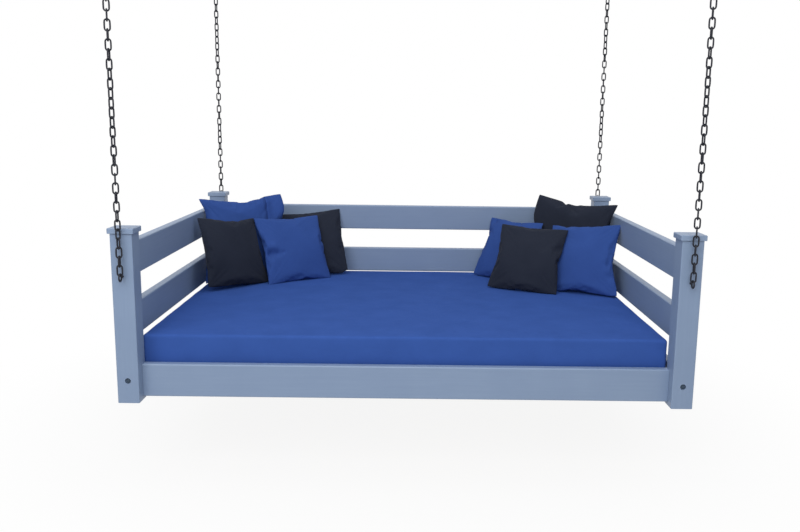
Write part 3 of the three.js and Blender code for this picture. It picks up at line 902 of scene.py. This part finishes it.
def cloth_settings(made, pressure, tension, bending):
    """Makes a piece simulate as cloth with air inside and no gravity."""
    cloth = made.modifiers.new("stuffing", "CLOTH")
    settings = cloth.settings
    settings.quality = 6
    settings.mass = 0.25
    settings.air_damping = 2.0
    settings.tension_stiffness = tension
    settings.compression_stiffness = tension
    settings.shear_stiffness = tension / 3
    settings.bending_stiffness = bending
    settings.tension_damping = 15
    settings.compression_damping = 15
    settings.shear_damping = 10
    settings.use_pressure = True
    settings.uniform_pressure_force = pressure
    settings.effector_weights.gravity = 0
    cloth.collision_settings.use_collision = False
    return cloth


def simulate(pieces, frames):
    """Steps the cloth of some pieces and returns the points of each."""
    scene = bpy.context.scene
    for step in range(1, frames + 1):
        scene.frame_set(step)
    graph = bpy.context.evaluated_depsgraph_get()
    found = []
    for made in pieces:
        mesh = made.evaluated_get(graph).to_mesh()
        found.append([v.co.copy() for v in mesh.vertices])
        made.evaluated_get(graph).to_mesh_clear()
    for made in pieces:
        for modifier in [m for m in made.modifiers if m.type == "CLOTH"]:
            made.modifiers.remove(modifier)
    scene.frame_set(1)
    return found


# How the mattress's cover departs from a plain block, in metres.
COVER_LIFT = 0.0005    # its underside over the slats, before it's shaped
COVER_REST = 0.0003    # the least that stays of this
COVER_CROWN = 0.002    # the middle of the top over its edges
COVER_PULL_Y = 0.002   # the middles of the front and the back drawn in
COVER_PULL_X = 0.001   # the middles of the two sides drawn in
COVER_SHIFT = 0.009    # the left side, nearer its rails than the right one
TOP_FOLD = 0.002       # folds on the top along its edges
FRONT_FOLD = 0.0015    # folds in the front and the back
CORNER_FOLDS = (0.0015, 0.002)  # puckers at the corners: on the top, and in the front and back


class PORCHSWING_OT_mattress(bpy.types.Operator):
    """Builds the mattress: a foam block whose cloth cover swells a little"""

    bl_idname = "porch_swing.mattress"
    bl_label = "Mattress"

    def execute(self, context):
        scene = context.scene
        soft = scene.swing_soft
        low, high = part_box("mattress")
        made = piece(
            "mattress_cover", self.cover(soft, low, high),
            cloth_for(scene.swing_colours, "mattress"), ["mattress"], sharp=80,
        )
        self.stuff(made, soft.mattress_swell)
        self.shape(made, low, high)
        store_values(made, "from_seam", [1.0] * len(made.data.vertices))
        subdivide(made)
        return {"FINISHED"}

    @staticmethod
    def cover(soft, low, high):
        """A rounded block in squares, a little smaller than the mattress, to leave it room."""
        swell, rounding = soft.mattress_swell, soft.mattress_rounding
        inset = Vector((swell / 2, swell / 2, swell / 3))
        start, stop = low + inset, high - inset
        start.z = low.z + COVER_LIFT
        bm = bmesh.new()
        block(bm, start, stop)
        ease(bm, bm.edges[:], rounding, 4)
        for axis in AXES:
            span = stop[axis] - start[axis]
            count = max(2, round(span / soft.mattress_cell))
            normal = Vector((0, 0, 0))
            normal[axis] = 1
            for i in range(1, count):
                place = start.copy()
                place[axis] += span * i / count
                if min(place[axis] - start[axis], stop[axis] - place[axis]) < rounding:
                    continue
                bmesh.ops.bisect_plane(
                    bm, geom=bm.verts[:] + bm.edges[:] + bm.faces[:], dist=1e-5,
                    plane_co=place, plane_no=normal,
                )
        layer = bm.loops.layers.uv.new("cloth")
        for face in bm.faces:
            normal = [abs(n) for n in face.normal]
            across, up = [a for a in AXES if a != normal.index(max(normal))]
            for loop in face.loops:
                loop[layer].uv = (loop.vert.co[across], loop.vert.co[up])
        return bm

    @staticmethod
    def stuff(made, swell):
        """Swells the cover with air, and holds it back as tight foam would."""
        cloth_settings(made, pressure=3.0, tension=12, bending=4)
        start = [v.co.copy() for v in made.data.vertices]
        points = simulate([made], frames=12)[0]
        for vertex, begun, point in zip(made.data.vertices, start, points):
            move = point - begun
            if move.length > 1e-9:
                move *= swell * math.tanh(move.length / swell) / move.length
            vertex.co = begun + move

    @staticmethod
    def shape(made, low, high):
        """Crowns the top, draws the sides in, and folds the slack of the cover."""
        middle, half = (low + high) / 2, (high - low) / 2
        for vertex in made.data.vertices:
            at = vertex.co - middle
            x, y, z = (at[a] / half[a] for a in AXES)
            rise = max(0.0, z)
            vertex.co.z += COVER_CROWN * (1 - x * x) * (1 - y * y) * rise
            vertex.co.y -= COVER_PULL_Y * (1 - x * x) * (1 - z * z) * y
            vertex.co.x -= COVER_PULL_X * (1 - y * y) * (1 - z * z) * x
            vertex.co.x -= COVER_SHIFT * max(0.0, -x)
            # The folds are soft and fade away from the edges.
            edge = max(abs(x), abs(y)) ** 8
            corner = abs(x * y) ** 6
            fold = noise.noise(Vector((at.x * 3, at.y * 9, at.z * 14)))
            pucker = corner * noise.noise(Vector((at.x * 11, at.y * 11, at.z * 30)))
            on_top, in_front = CORNER_FOLDS
            vertex.co.z += (TOP_FOLD * edge * fold + on_top * pucker) * rise
            vertex.co.y -= (FRONT_FOLD * fold + in_front * pucker) * abs(y) ** 20 * y
            vertex.co.z = max(vertex.co.z, low.z + COVER_REST)


# The swell of a pillow's panel falls off towards its seams with this power, and is uneven by
# this share, in lumps of this many to the metre. Its sides are cut fuller than its corners by
# the last share.
BELLY = 0.42
UNEVEN = 0.35
LUMPS = 14
FULLER = 0.015


def sewn_cover(size, cells, seed, swell):
    """Two square panels of cloth, sewn together all round and still nearly flat."""
    bm = bmesh.new()
    layer = bm.loops.layers.uv.new("cloth")
    bmesh.ops.create_grid(bm, x_segments=cells, y_segments=cells, size=size / 2)
    for face in bm.faces:
        for loop in face.loops:
            loop[layer].uv = loop.vert.co.xy
    bmesh.ops.rotate(
        bm, verts=bm.verts, cent=(0, 0, 0), matrix=Matrix.Rotation(math.pi / 2, 3, "X"))
    draw = random.Random(seed)
    shift = Vector([draw.uniform(0, 9) for _ in AXES])
    for vertex in bm.verts:
        u, v = 2 * vertex.co.x / size, 2 * vertex.co.z / size
        full = max(0.0, (1 - u * u) * (1 - v * v))
        vertex.co.y -= swell * full ** BELLY
        vertex.co.y += UNEVEN * swell * full ** 0.5 * noise.noise(vertex.co * LUMPS + shift)
        vertex.co.x *= 1 + FULLER * (1 - v ** 4)
        vertex.co.z *= 1 + FULLER * (1 - u ** 4)
    front = bm.verts[:] + bm.edges[:] + bm.faces[:]
    back = bmesh.ops.duplicate(bm, geom=front)["geom"]
    bmesh.ops.scale(
        bm, vec=(1, -1, 1), verts=[g for g in back if isinstance(g, bmesh.types.BMVert)])
    bmesh.ops.reverse_faces(bm, faces=[g for g in back if isinstance(g, bmesh.types.BMFace)])
    bmesh.ops.remove_doubles(bm, verts=bm.verts, dist=1e-5)
    return bm


def smooth_step(value, low=0.0, high=1.0):
    """Rises smoothly from 0 to 1 between two values."""
    share = max(0.0, min(1.0, (value - low) / (high - low)))
    return share * share * (3 - 2 * share)


FLAT_SWELL = 0.01      # the swell that a panel starts its simulation with
CREASE_HEIGHT = 0.02   # the crease where a pillow's side folds forward
CREASE_WIDTH = 0.014
FOLD_FROM, FOLD_TO = -0.1, 0.6  # how high up a fold starts, and where it's full
SEAT_GAP = 0.0005      # a pillow's foot over the mattress
SEAT_SOFT = 0.003      # the height over which cloth is pressed flat there
RAY_HEIGHT = 0.5       # where the rays start that find the mattress


class PORCHSWING_OT_pillows(bpy.types.Operator):
    """Sews and stuffs the eight pillows, and stands them on the mattress"""

    bl_idname = "porch_swing.pillows"
    bl_label = "Pillows"

    def execute(self, context):
        scene = context.scene
        soft = scene.swing_soft
        mattress = bpy.data.objects.get("mattress_cover")
        if mattress is None:
            raise RuntimeError("Build the mattress before the pillows")
        covers = []
        for seed, (node, look) in enumerate(PILLOWS.items()):
            size = soft.corner_pillow_size if "corner" in node else soft.pillow_size
            swell = FLAT_SWELL
            bm = sewn_cover(size, soft.pillow_cells, seed, swell)
            cover = piece(
                f"{node}_cover", bm, cloth_for(scene.swing_colours, look["cloth"]),
                [node], sharp=180,
            )
            flat = [(2 * v.co.x / size, 2 * v.co.z / size) for v in cover.data.vertices]
            store_values(cover, "from_seam", [
                (1 - min(1.0, max(abs(u), abs(v)))) * size / 2 for u, v in flat
            ])
            covers.append((node, cover, size, flat))
        for node, cover, _, _ in covers:
            cloth_settings(
                cover, pressure=3.0, tension=25, bending=PILLOWS[node]["bending"])
        shapes = simulate([cover for _, cover, _, _ in covers], frames=24)
        bed = BVHTree.FromObject(mattress, context.evaluated_depsgraph_get())
        for (node, cover, size, flat), points in zip(covers, shapes):
            self.place(cover, node, size, flat, points, soft.pillow_plump)
            self.seat(cover, flat, bed, PILLOWS[node]["drop"] / 1000)
            subdivide(cover)
        return {"FINISHED"}

    @staticmethod
    def place(cover, node, size, flat, points, plumpness):
        """Pulls a stuffed pillow's corners about, and puts it where its CAD node is."""
        look = PILLOWS[node]
        yaw, lean, roll = (math.radians(a) for a in look["turn"])
        turn = (
            Matrix.Rotation(yaw, 4, "Z") @ Matrix.Rotation(-lean, 4, "X")
            @ Matrix.Rotation(roll, 4, "Y")
        )
        reach = [max(abs(p[a]) for p in points) for a in (X_AXIS, Z_AXIS)]
        shrink = size / (reach[0] + reach[1])
        thick = max(p.y for p in points) - min(p.y for p in points)
        plump = plumpness * size / (thick * shrink)
        middle = centre_of(node)
        for vertex, (u, v), point in zip(cover.data.vertices, flat, points):
            point = Vector((point.x, point.y * plump, point.z)) * shrink
            for across, up, reach, pull in look["pulls"]:
                far = ((u - across) ** 2 + (v - up) ** 2) / (2 * reach * reach)
                point += Vector(pull) / 1000 * math.exp(-far)
            if "fold" in look:
                start, slope = look["fold"]
                past = point.x - start
                crease = CREASE_HEIGHT * math.exp(-(past / CREASE_WIDTH) ** 2)
                fold = crease - slope * max(0.0, past)
                point.y += fold * smooth_step(v, FOLD_FROM, FOLD_TO)
            vertex.co = middle + turn @ point

    @staticmethod
    def seat(cover, flat, bed, most):
        """Lets the lower seam of a pillow down to the mattress, and presses the foot flat."""
        up = Vector((0, 0, 1))

        def height(point):
            hit = bed.ray_cast(point + RAY_HEIGHT * up, -up)[0]
            return None if hit is None else hit.z

        seam = sorted(
            (u, vertex.co.z - (height(vertex.co) or vertex.co.z))
            for vertex, (u, v) in zip(cover.data.vertices, flat) if v < SAME - 1
        )
        for vertex, (u, v) in zip(cover.data.vertices, flat):
            over = min(seam, key=lambda stop: abs(stop[0] - u))[1]
            # The foot comes down most in its middle, and its two tips least.
            let_down = smooth_step(-v, 0.3, 1.0) * (1 - 0.8 * smooth_step(abs(u), 0.8, 1.0))
            vertex.co.z -= max(0.0, min(most, over - SEAT_GAP)) * let_down
        for vertex in cover.data.vertices:
            top = height(vertex.co)
            if top is None:
                continue
            above = vertex.co.z - top - SEAT_GAP
            if above < SEAT_SOFT:
                pressed = max(0.0, above + SEAT_SOFT) ** 2 / (4 * SEAT_SOFT)
                vertex.co.z = top + SEAT_GAP + pressed


class PORCHSWING_OT_bolts(bpy.types.Operator):
    """Builds the flanged bolts in the feet of the posts"""

    bl_idname = "porch_swing.bolts"
    bl_label = "Bolts"

    def execute(self, context):
        scene = context.scene
        steel, colours = scene.swing_steel, scene.swing_colours
        flange, shank = steel.bolt_flange, steel.bolt_shank
        # Along the bolt: the flange's slope, its rim and its seat, and the length of the tip.
        slope, rim, seat, point = 0.0042, 0.0046, 0.0056, 0.006
        for corner in CORNERS:
            node = f"{corner}_bolt"
            low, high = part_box(node)
            inward, head, tip = inwards(corner, low, high)
            reach = abs(tip - head)
            start = (low + high) / 2
            start.y = head
            bm = bmesh.new()
            lathe(bm, [
                (slope, 0), (slope, flange * 0.8), (rim, flange), (seat, flange), (seat, shank),
                (reach - point, shank), (reach, 0),
            ], start, (0, inward, 0), 32)
            under = start + Vector((0, inward * steel.bolt_head_height, 0))
            cap = rod(bm, start, under, steel.bolt_head, 6)
            ease(bm, edges_at(edges_of(cap), Y_AXIS, head), steel.bolt_chamfer, 2)
            # The tint is partly grey steel and partly a painted reflection of the blue paint
            # round the bolts.
            finish = blackened_steel(colours, "bolt_steel_with_painted_reflection", colours.bolt)
            made = piece(f"{node}_steel", bm, finish, [node])
            store_values(made, "rubbed", [0.0] * len(made.data.vertices))
        return {"FINISHED"}


# One turn of a screw eye's thread: pairs of the share of its pitch and of the shank's radius.
THREAD_PITCH = 0.002
THREAD = ((0.3, 0.8), (0.6, 0.8), (0.85, 1.0), (1.0, 1.0))


class PORCHSWING_OT_screw_eyes(bpy.types.Operator):
    """Builds the screw eyes: a ring, a shouldered neck and a threaded shank"""

    bl_idname = "porch_swing.screw_eyes"
    bl_label = "Screw eyes"

    def execute(self, context):
        scene = context.scene
        steel = scene.swing_steel
        start, wire, shank, point = steel.eye_ring, steel.eye_wire, steel.eye_shank, 0.008
        for corner in CORNERS:
            node = f"{corner}_screw_eye"
            low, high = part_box(node)
            inward, edge, tip = inwards(corner, low, high)
            ring = (low + high) / 2
            ring.y = edge + inward * (start + wire)
            reach = abs(tip - ring.y)
            bm = bmesh.new()
            hoop(bm, ring, (1, 0, 0), start, wire, 40, 14)
            # The neck widens from the ring's wire to the shank. The thread is drawn as ridges.
            along = start + wire * 2
            profile = [
                (start - wire * 0.3, 0), (start, wire * 0.9), (start + wire, wire * 0.98),
                (start + wire * 1.8, shank), (along, shank),
            ]
            while along < reach - point - THREAD_PITCH:
                profile += [
                    (along + THREAD_PITCH * share, shank * width) for share, width in THREAD
                ]
                along += THREAD_PITCH
            profile += [(reach - point, shank * 0.8), (reach, 0)]
            lathe(bm, profile, ring, (0, inward, 0), 20)
            made = piece(
                f"{node}_steel", bm, blackened_steel(scene.swing_colours), [node])
            # The chain hangs from the inside of the ring, at its top.
            store_rubbed(made, ring + Vector((0, 0, start - wire)), 0.006)
        return {"FINISHED"}


def link_template(steel):
    """A mesh of one oval link that stands in the XZ plane, with its middle at the origin."""
    wire = steel.link_wire
    bend = steel.link_width / 2 - wire
    play = 0.0001
    reach = (steel.link_pitch + 2 * wire + play) / 2
    bm = bmesh.new()
    # Smoothing draws the six-sided wire in by an eighth, and the bend by a fiftieth.
    start = bmesh.ops.create_circle(
        bm, segments=6, radius=wire * 8 / 7, cap_ends=False,
        matrix=Matrix.Translation((bend * 50 / 49, 0, 0)),
    )["verts"]
    bmesh.ops.spin(
        bm, geom=start + bm.edges[:], cent=(0, 0, 0), axis=(0, -1, 0), angle=math.pi, steps=8,
        use_merge=False,
    )
    bmesh.ops.translate(bm, vec=(0, 0, reach - bend), verts=bm.verts)
    lower = bmesh.ops.duplicate(bm, geom=bm.verts[:] + bm.edges[:] + bm.faces[:])["geom"]
    lower = [g for g in lower if isinstance(g, bmesh.types.BMVert)]
    bmesh.ops.rotate(
        bm, verts=lower, cent=(0, 0, 0), matrix=Matrix.Rotation(math.pi, 3, "Y"))
    for side in (-1, 1):
        loops = [
            e for e in bm.edges
            if e.is_boundary and all(v.co.x * side > 0 for v in e.verts)
        ]
        bmesh.ops.bridge_loops(bm, edges=loops)
    bmesh.ops.recalc_face_normals(bm, faces=bm.faces)
    return mesh_from("link", bm)


# How the four chains are twisted: pairs of height above the foot of the posts, in metres, and
# the turn there in degrees.
TWISTS = {
    "front_left": (
        (0.59, 0), (0.74, 85), (0.85, 96), (0.91, 106), (0.975, 125), (1.04, 137), (1.19, 152),
        (1.33, 170), (1.46, 192), (1.55, 200), (1.75, 200), (1.92, 180),
    ),
    "front_right": (
        (0.56, 0), (0.7, -19), (0.8, -19), (1.0, -6), (1.15, 7), (1.22, 17), (1.29, 31),
        (1.36, 36), (1.43, 49), (1.5, 59), (1.58, 67), (1.7, 71), (1.92, 0),
    ),
    "back_left": (
        (0.56, 0), (0.71, 80), (0.82, 92), (0.93, 103), (0.97, 118), (1.04, 145), (1.11, 156),
        (1.18, 180), (1.3, 193), (1.4, 183), (1.54, 161), (1.68, 137), (1.8, 126), (1.92, 180),
    ),
    "back_right": (
        (0.56, 0), (0.7, 75), (0.95, 77), (1.02, 90), (1.1, 114), (1.2, 138), (1.31, 156),
        (1.46, 168), (1.54, 187), (1.64, 217), (1.7, 234), (1.8, 238), (1.92, 180),
    ),
}


def twist_at(corner, height):
    """The turn of a chain at a height, in radians."""
    stops = TWISTS[corner]
    for (low, start), (high, end) in zip(stops, stops[1:]):
        if height <= high:
            share = max(0.0, min(1.0, (height - low) / (high - low)))
            return math.radians(start + (end - start) * share)
    return math.radians(stops[-1][1])


class PORCHSWING_OT_chains(bpy.types.Operator):
    """Builds the four chains, link by link, with the twist that each one hangs with"""

    bl_idname = "porch_swing.chains"
    bl_label = "Chains"

    def execute(self, context):
        scene = context.scene
        steel = scene.swing_steel
        template = link_template(steel)
        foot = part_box("front_left_post")[0].z
        pitch = steel.link_pitch
        for corner in CORNERS:
            first = None
            for part in ("lower_chain", "pivot_link", "upper_chain", "top_link"):
                node = f"{corner}_{part}"
                low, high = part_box(node)
                middle = (low + high) / 2
                count = round((high.z - low.z - 2 * steel.link_wire) / pitch)
                if first is None:
                    first = middle.z - (count - 1) * pitch / 2
                    index = 0
                bm = bmesh.new()
                for _ in range(count):
                    height = first + index * pitch
                    turn = twist_at(corner, height - foot) + (index % 2) * math.pi / 2
                    before = set(bm.verts)
                    bm.from_mesh(template)
                    bmesh.ops.transform(
                        bm, verts=added_since(bm, before),
                        matrix=Matrix.Translation((middle.x, middle.y, height))
                        @ Matrix.Rotation(turn, 4, "Z"),
                    )
                    index += 1
                made = piece(
                    f"{node}_links", bm, blackened_steel(scene.swing_colours),
                    [node], sharp=180,
                )
                # The links rub halfway between their middles, on the chain's own line.
                rubs = []
                for vertex in made.data.vertices:
                    near = (vertex.co.z - first) / pitch + 0.5
                    off = abs(near - round(near)) * pitch
                    out = math.hypot(vertex.co.x - middle.x, vertex.co.y - middle.y)
                    rubs.append(max(0.0, 1 - math.hypot(off, out * 0.8) / 0.006))
                store_values(made, "rubbed", rubs)
                subdivide(made)
        bpy.data.meshes.remove(template)
        return {"FINISHED"}


class PORCHSWING_OT_hangers(bpy.types.Operator):
    """Builds the ceiling plates, each with two screw holes and a welded ring"""

    bl_idname = "porch_swing.hangers"
    bl_label = "Hangers"

    def execute(self, context):
        scene = context.scene
        steel = scene.swing_steel
        radius, wire = steel.hanger_ring, steel.hanger_wire
        # The ring is let into the plate by this much, and a bead of weld lies round it there.
        let_in, weld = 0.002, (0.0085, 0.014, 0.0032)
        for corner in CORNERS:
            node = f"{corner}_hanger"
            low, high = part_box(node)
            middle = (low + high) / 2
            under = low.z + 2 * (radius + wire) - let_in
            bm = bmesh.new()
            block(bm, (low.x, low.y, under), high)
            ease(bm, edges_along(bm.edges, Z_AXIS), steel.plate_corner, 6)
            ease(bm, edges_at(bm.edges, Z_AXIS, under, high.z), steel.plate_ease, 2)
            made = piece(
                f"{node}_steel", bm, blackened_steel(scene.swing_colours),
                [node], even=True,
            )
            cut(made, [
                bore((middle.x, y, 0), Z_AXIS, under - OVERRUN, high.z + OVERRUN,
                     steel.plate_hole, 24)
                for y in (low.y + steel.plate_hole_inset, high.y - steel.plate_hole_inset)
            ])
            bm = bmesh.new()
            bm.from_mesh(made.data)
            hoop(bm, (middle.x, middle.y, low.z + radius + wire), (1, 0, 0), radius, wire, 48, 16)
            bead = bmesh.ops.create_uvsphere(
                bm, u_segments=20, v_segments=10, radius=1.0)["verts"]
            bmesh.ops.scale(bm, vec=weld, verts=bead)
            bmesh.ops.translate(bm, vec=(middle.x, middle.y, under), verts=bead)
            bm.to_mesh(made.data)
            bm.free()
            shade(made.data)
            # The top link hangs from the inside of the ring, at its foot.
            store_rubbed(made, Vector((middle.x, middle.y, low.z + 2 * wire)), 0.008)
        return {"FINISHED"}


class PORCHSWING_OT_stage(bpy.types.Operator):
    """Sets up the white studio: the floor, the lights, the world and the camera"""

    bl_idname = "porch_swing.stage"
    bl_label = "Studio"

    def execute(self, context):
        self.floor(context)
        self.world(context)
        self.lights()
        self.camera(context)
        context.scene.view_settings.view_transform = "Standard"
        return {"FINISHED"}

    @staticmethod
    def seen(tree):
        """One where a ray comes from the camera, a mirror or clear glass, and zero elsewhere."""
        path = add_node(tree, "ShaderNodeLightPath").outputs
        either = add_node(tree, "ShaderNodeMath", {
            0: path["Is Camera Ray"], 1: path["Is Glossy Ray"],
        }, operation="MAXIMUM")
        return add_node(tree, "ShaderNodeMath", {
            0: either.outputs[0], 1: path["Is Transmission Ray"],
        }, operation="MAXIMUM").outputs[0]

    def floor(self, context):
        drop, half_width = 0.36, 40
        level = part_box("front_left_post")[0].z - drop
        bm = bmesh.new()
        bmesh.ops.create_grid(bm, x_segments=1, y_segments=1, size=half_width)
        bmesh.ops.translate(bm, vec=(0, 0, level), verts=bm.verts)
        floor = put_in_scene("studio_floor", mesh_from("studio_floor", bm))
        material, tree = new_material("matt_white_studio_floor")
        if tree:
            # Matt paint that fades to plain white away from the swing, and keeps its shadow.
            place = add_node(tree, "ShaderNodeTexCoord").outputs["Object"]
            flat = add_node(tree, "ShaderNodeMapping", {"Vector": place, "Scale": (1, 1, 0)})
            away = add_node(tree, "ShaderNodeVectorMath", {0: flat.outputs[0]},
                            operation="LENGTH").outputs["Value"]
            plain = add_node(tree, "ShaderNodeMapRange", {
                "Value": away, "From Min": 0.9, "From Max": 2.6, "To Min": 0.9, "To Max": 1.0,
            }, interpolation_type="SMOOTHSTEP").outputs[0]
            share = add_node(tree, "ShaderNodeMath", {
                0: self.seen(tree), 1: plain,
            }, operation="MULTIPLY").outputs[0]
            matt = add_node(tree, "ShaderNodeBsdfPrincipled", {
                "Base Color": context.scene.swing_colours.floor, "Roughness": 0.9,
            })
            white = add_node(tree, "ShaderNodeEmission", {"Strength": 1.0})
            mixed = add_node(tree, "ShaderNodeMixShader", {
                0: share, 1: matt.outputs[0], 2: white.outputs[0],
            })
            add_node(tree, "ShaderNodeOutputMaterial", {"Surface": mixed.outputs[0]})
        floor.data.materials.append(material)

    def world(self, context):
        world = bpy.data.worlds.new("white_studio")
        context.scene.world = world
        world.use_nodes = True
        tree = world.node_tree
        tree.nodes.clear()
        room = add_node(tree, "ShaderNodeBackground", {"Strength": 0.37})
        white = add_node(tree, "ShaderNodeBackground", {"Strength": 1.0})
        for background in (room, white):
            background.inputs["Color"].default_value = (1, 1, 1, 1)
        mixed = add_node(tree, "ShaderNodeMixShader", {
            0: self.seen(tree), 1: room.outputs[0], 2: white.outputs[0],
        })
        add_node(tree, "ShaderNodeOutputWorld", {"Surface": mixed.outputs[0]})

    @staticmethod
    def lights():
        aim = Vector((0, 0, -1.6))
        for name, place, width, depth, power in (
            ("front_softbox", (-0.9, -4.3, 1.3), 5.0, 3.0, 182),
            ("top_softbox", (0.2, -0.6, 2.4), 4.0, 3.0, 50),
        ):
            light = bpy.data.lights.new(name, "AREA")
            light.shape = "RECTANGLE"
            light.size = width
            light.size_y = depth
            light.energy = power
            made = put_in_scene(name, light)
            made.location = place
            made.rotation_euler = (aim - Vector(place)).to_track_quat("-Z", "Y").to_euler()
            made.visible_camera = False

    @staticmethod
    def camera(context):
        # Found by fitting the frame's straight edges in the photograph.
        across, back, above_feet = 0.0175, -4.0895, 1.1651
        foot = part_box("front_left_post")[0].z
        yaw, pitch, roll = (math.radians(a) for a in (0.369, -10.112, 0.749))
        forward = Vector((
            math.sin(yaw) * math.cos(pitch), math.cos(yaw) * math.cos(pitch), math.sin(pitch)))
        right = Vector((math.cos(yaw), -math.sin(yaw), 0))
        up = right.cross(forward)
        right, up = (
            right * math.cos(roll) + up * math.sin(roll),
            up * math.cos(roll) - right * math.sin(roll),
        )
        camera = bpy.data.cameras.new("camera")
        camera.sensor_width = 36
        camera.lens = 36.914
        camera.shift_x = -0.0212
        made = put_in_scene("camera", camera)
        place = Matrix.Translation((across, back, foot + above_feet))
        made.matrix_world = place @ Matrix((right, up, -forward)).transposed().to_4x4()
        context.scene.camera = made


class PORCHSWING_PT_panel(bpy.types.Panel):
    """Lists the pieces of the swing, and the sizes and colours that shape them"""

    bl_idname = "PORCHSWING_PT_panel"
    bl_label = "Porch Swing"
    bl_space_type = "VIEW_3D"
    bl_region_type = "UI"
    bl_category = "Porch Swing"

    def draw(self, context):
        layout = self.layout
        for operator in OPERATORS:
            layout.operator(operator.bl_idname)
        for group in GROUPS:
            values = getattr(context.scene, group)
            box = layout.box()
            for name in values.__annotations__:
                box.prop(values, name)


GROUPS = {
    "swing_timber": SwingTimberSizes,
    "swing_soft": SwingSoftSizes,
    "swing_steel": SwingSteelSizes,
    "swing_colours": SwingColours,
}
OPERATORS = (
    PORCHSWING_OT_posts,
    PORCHSWING_OT_caps,
    PORCHSWING_OT_rails,
    PORCHSWING_OT_base,
    PORCHSWING_OT_mattress,
    PORCHSWING_OT_pillows,
    PORCHSWING_OT_bolts,
    PORCHSWING_OT_screw_eyes,
    PORCHSWING_OT_chains,
    PORCHSWING_OT_hangers,
    PORCHSWING_OT_stage,
)


def register():
    for group in GROUPS.values():
        bpy.utils.register_class(group)
    for operator in OPERATORS:
        bpy.utils.register_class(operator)
    bpy.utils.register_class(PORCHSWING_PT_panel)
    for name, group in GROUPS.items():
        setattr(bpy.types.Scene, name, PointerProperty(type=group))


def unregister():
    for name in GROUPS:
        delattr(bpy.types.Scene, name)
    bpy.utils.unregister_class(PORCHSWING_PT_panel)
    for operator in reversed(OPERATORS):
        bpy.utils.unregister_class(operator)
    for group in reversed(GROUPS.values()):
        bpy.utils.unregister_class(group)


def main():
    """Builds the whole swing and its studio."""
    register()
    for operator in OPERATORS:
        group, name = operator.bl_idname.split(".")
        getattr(getattr(bpy.ops, group), name)()


if __name__ == "__main__":
    main()
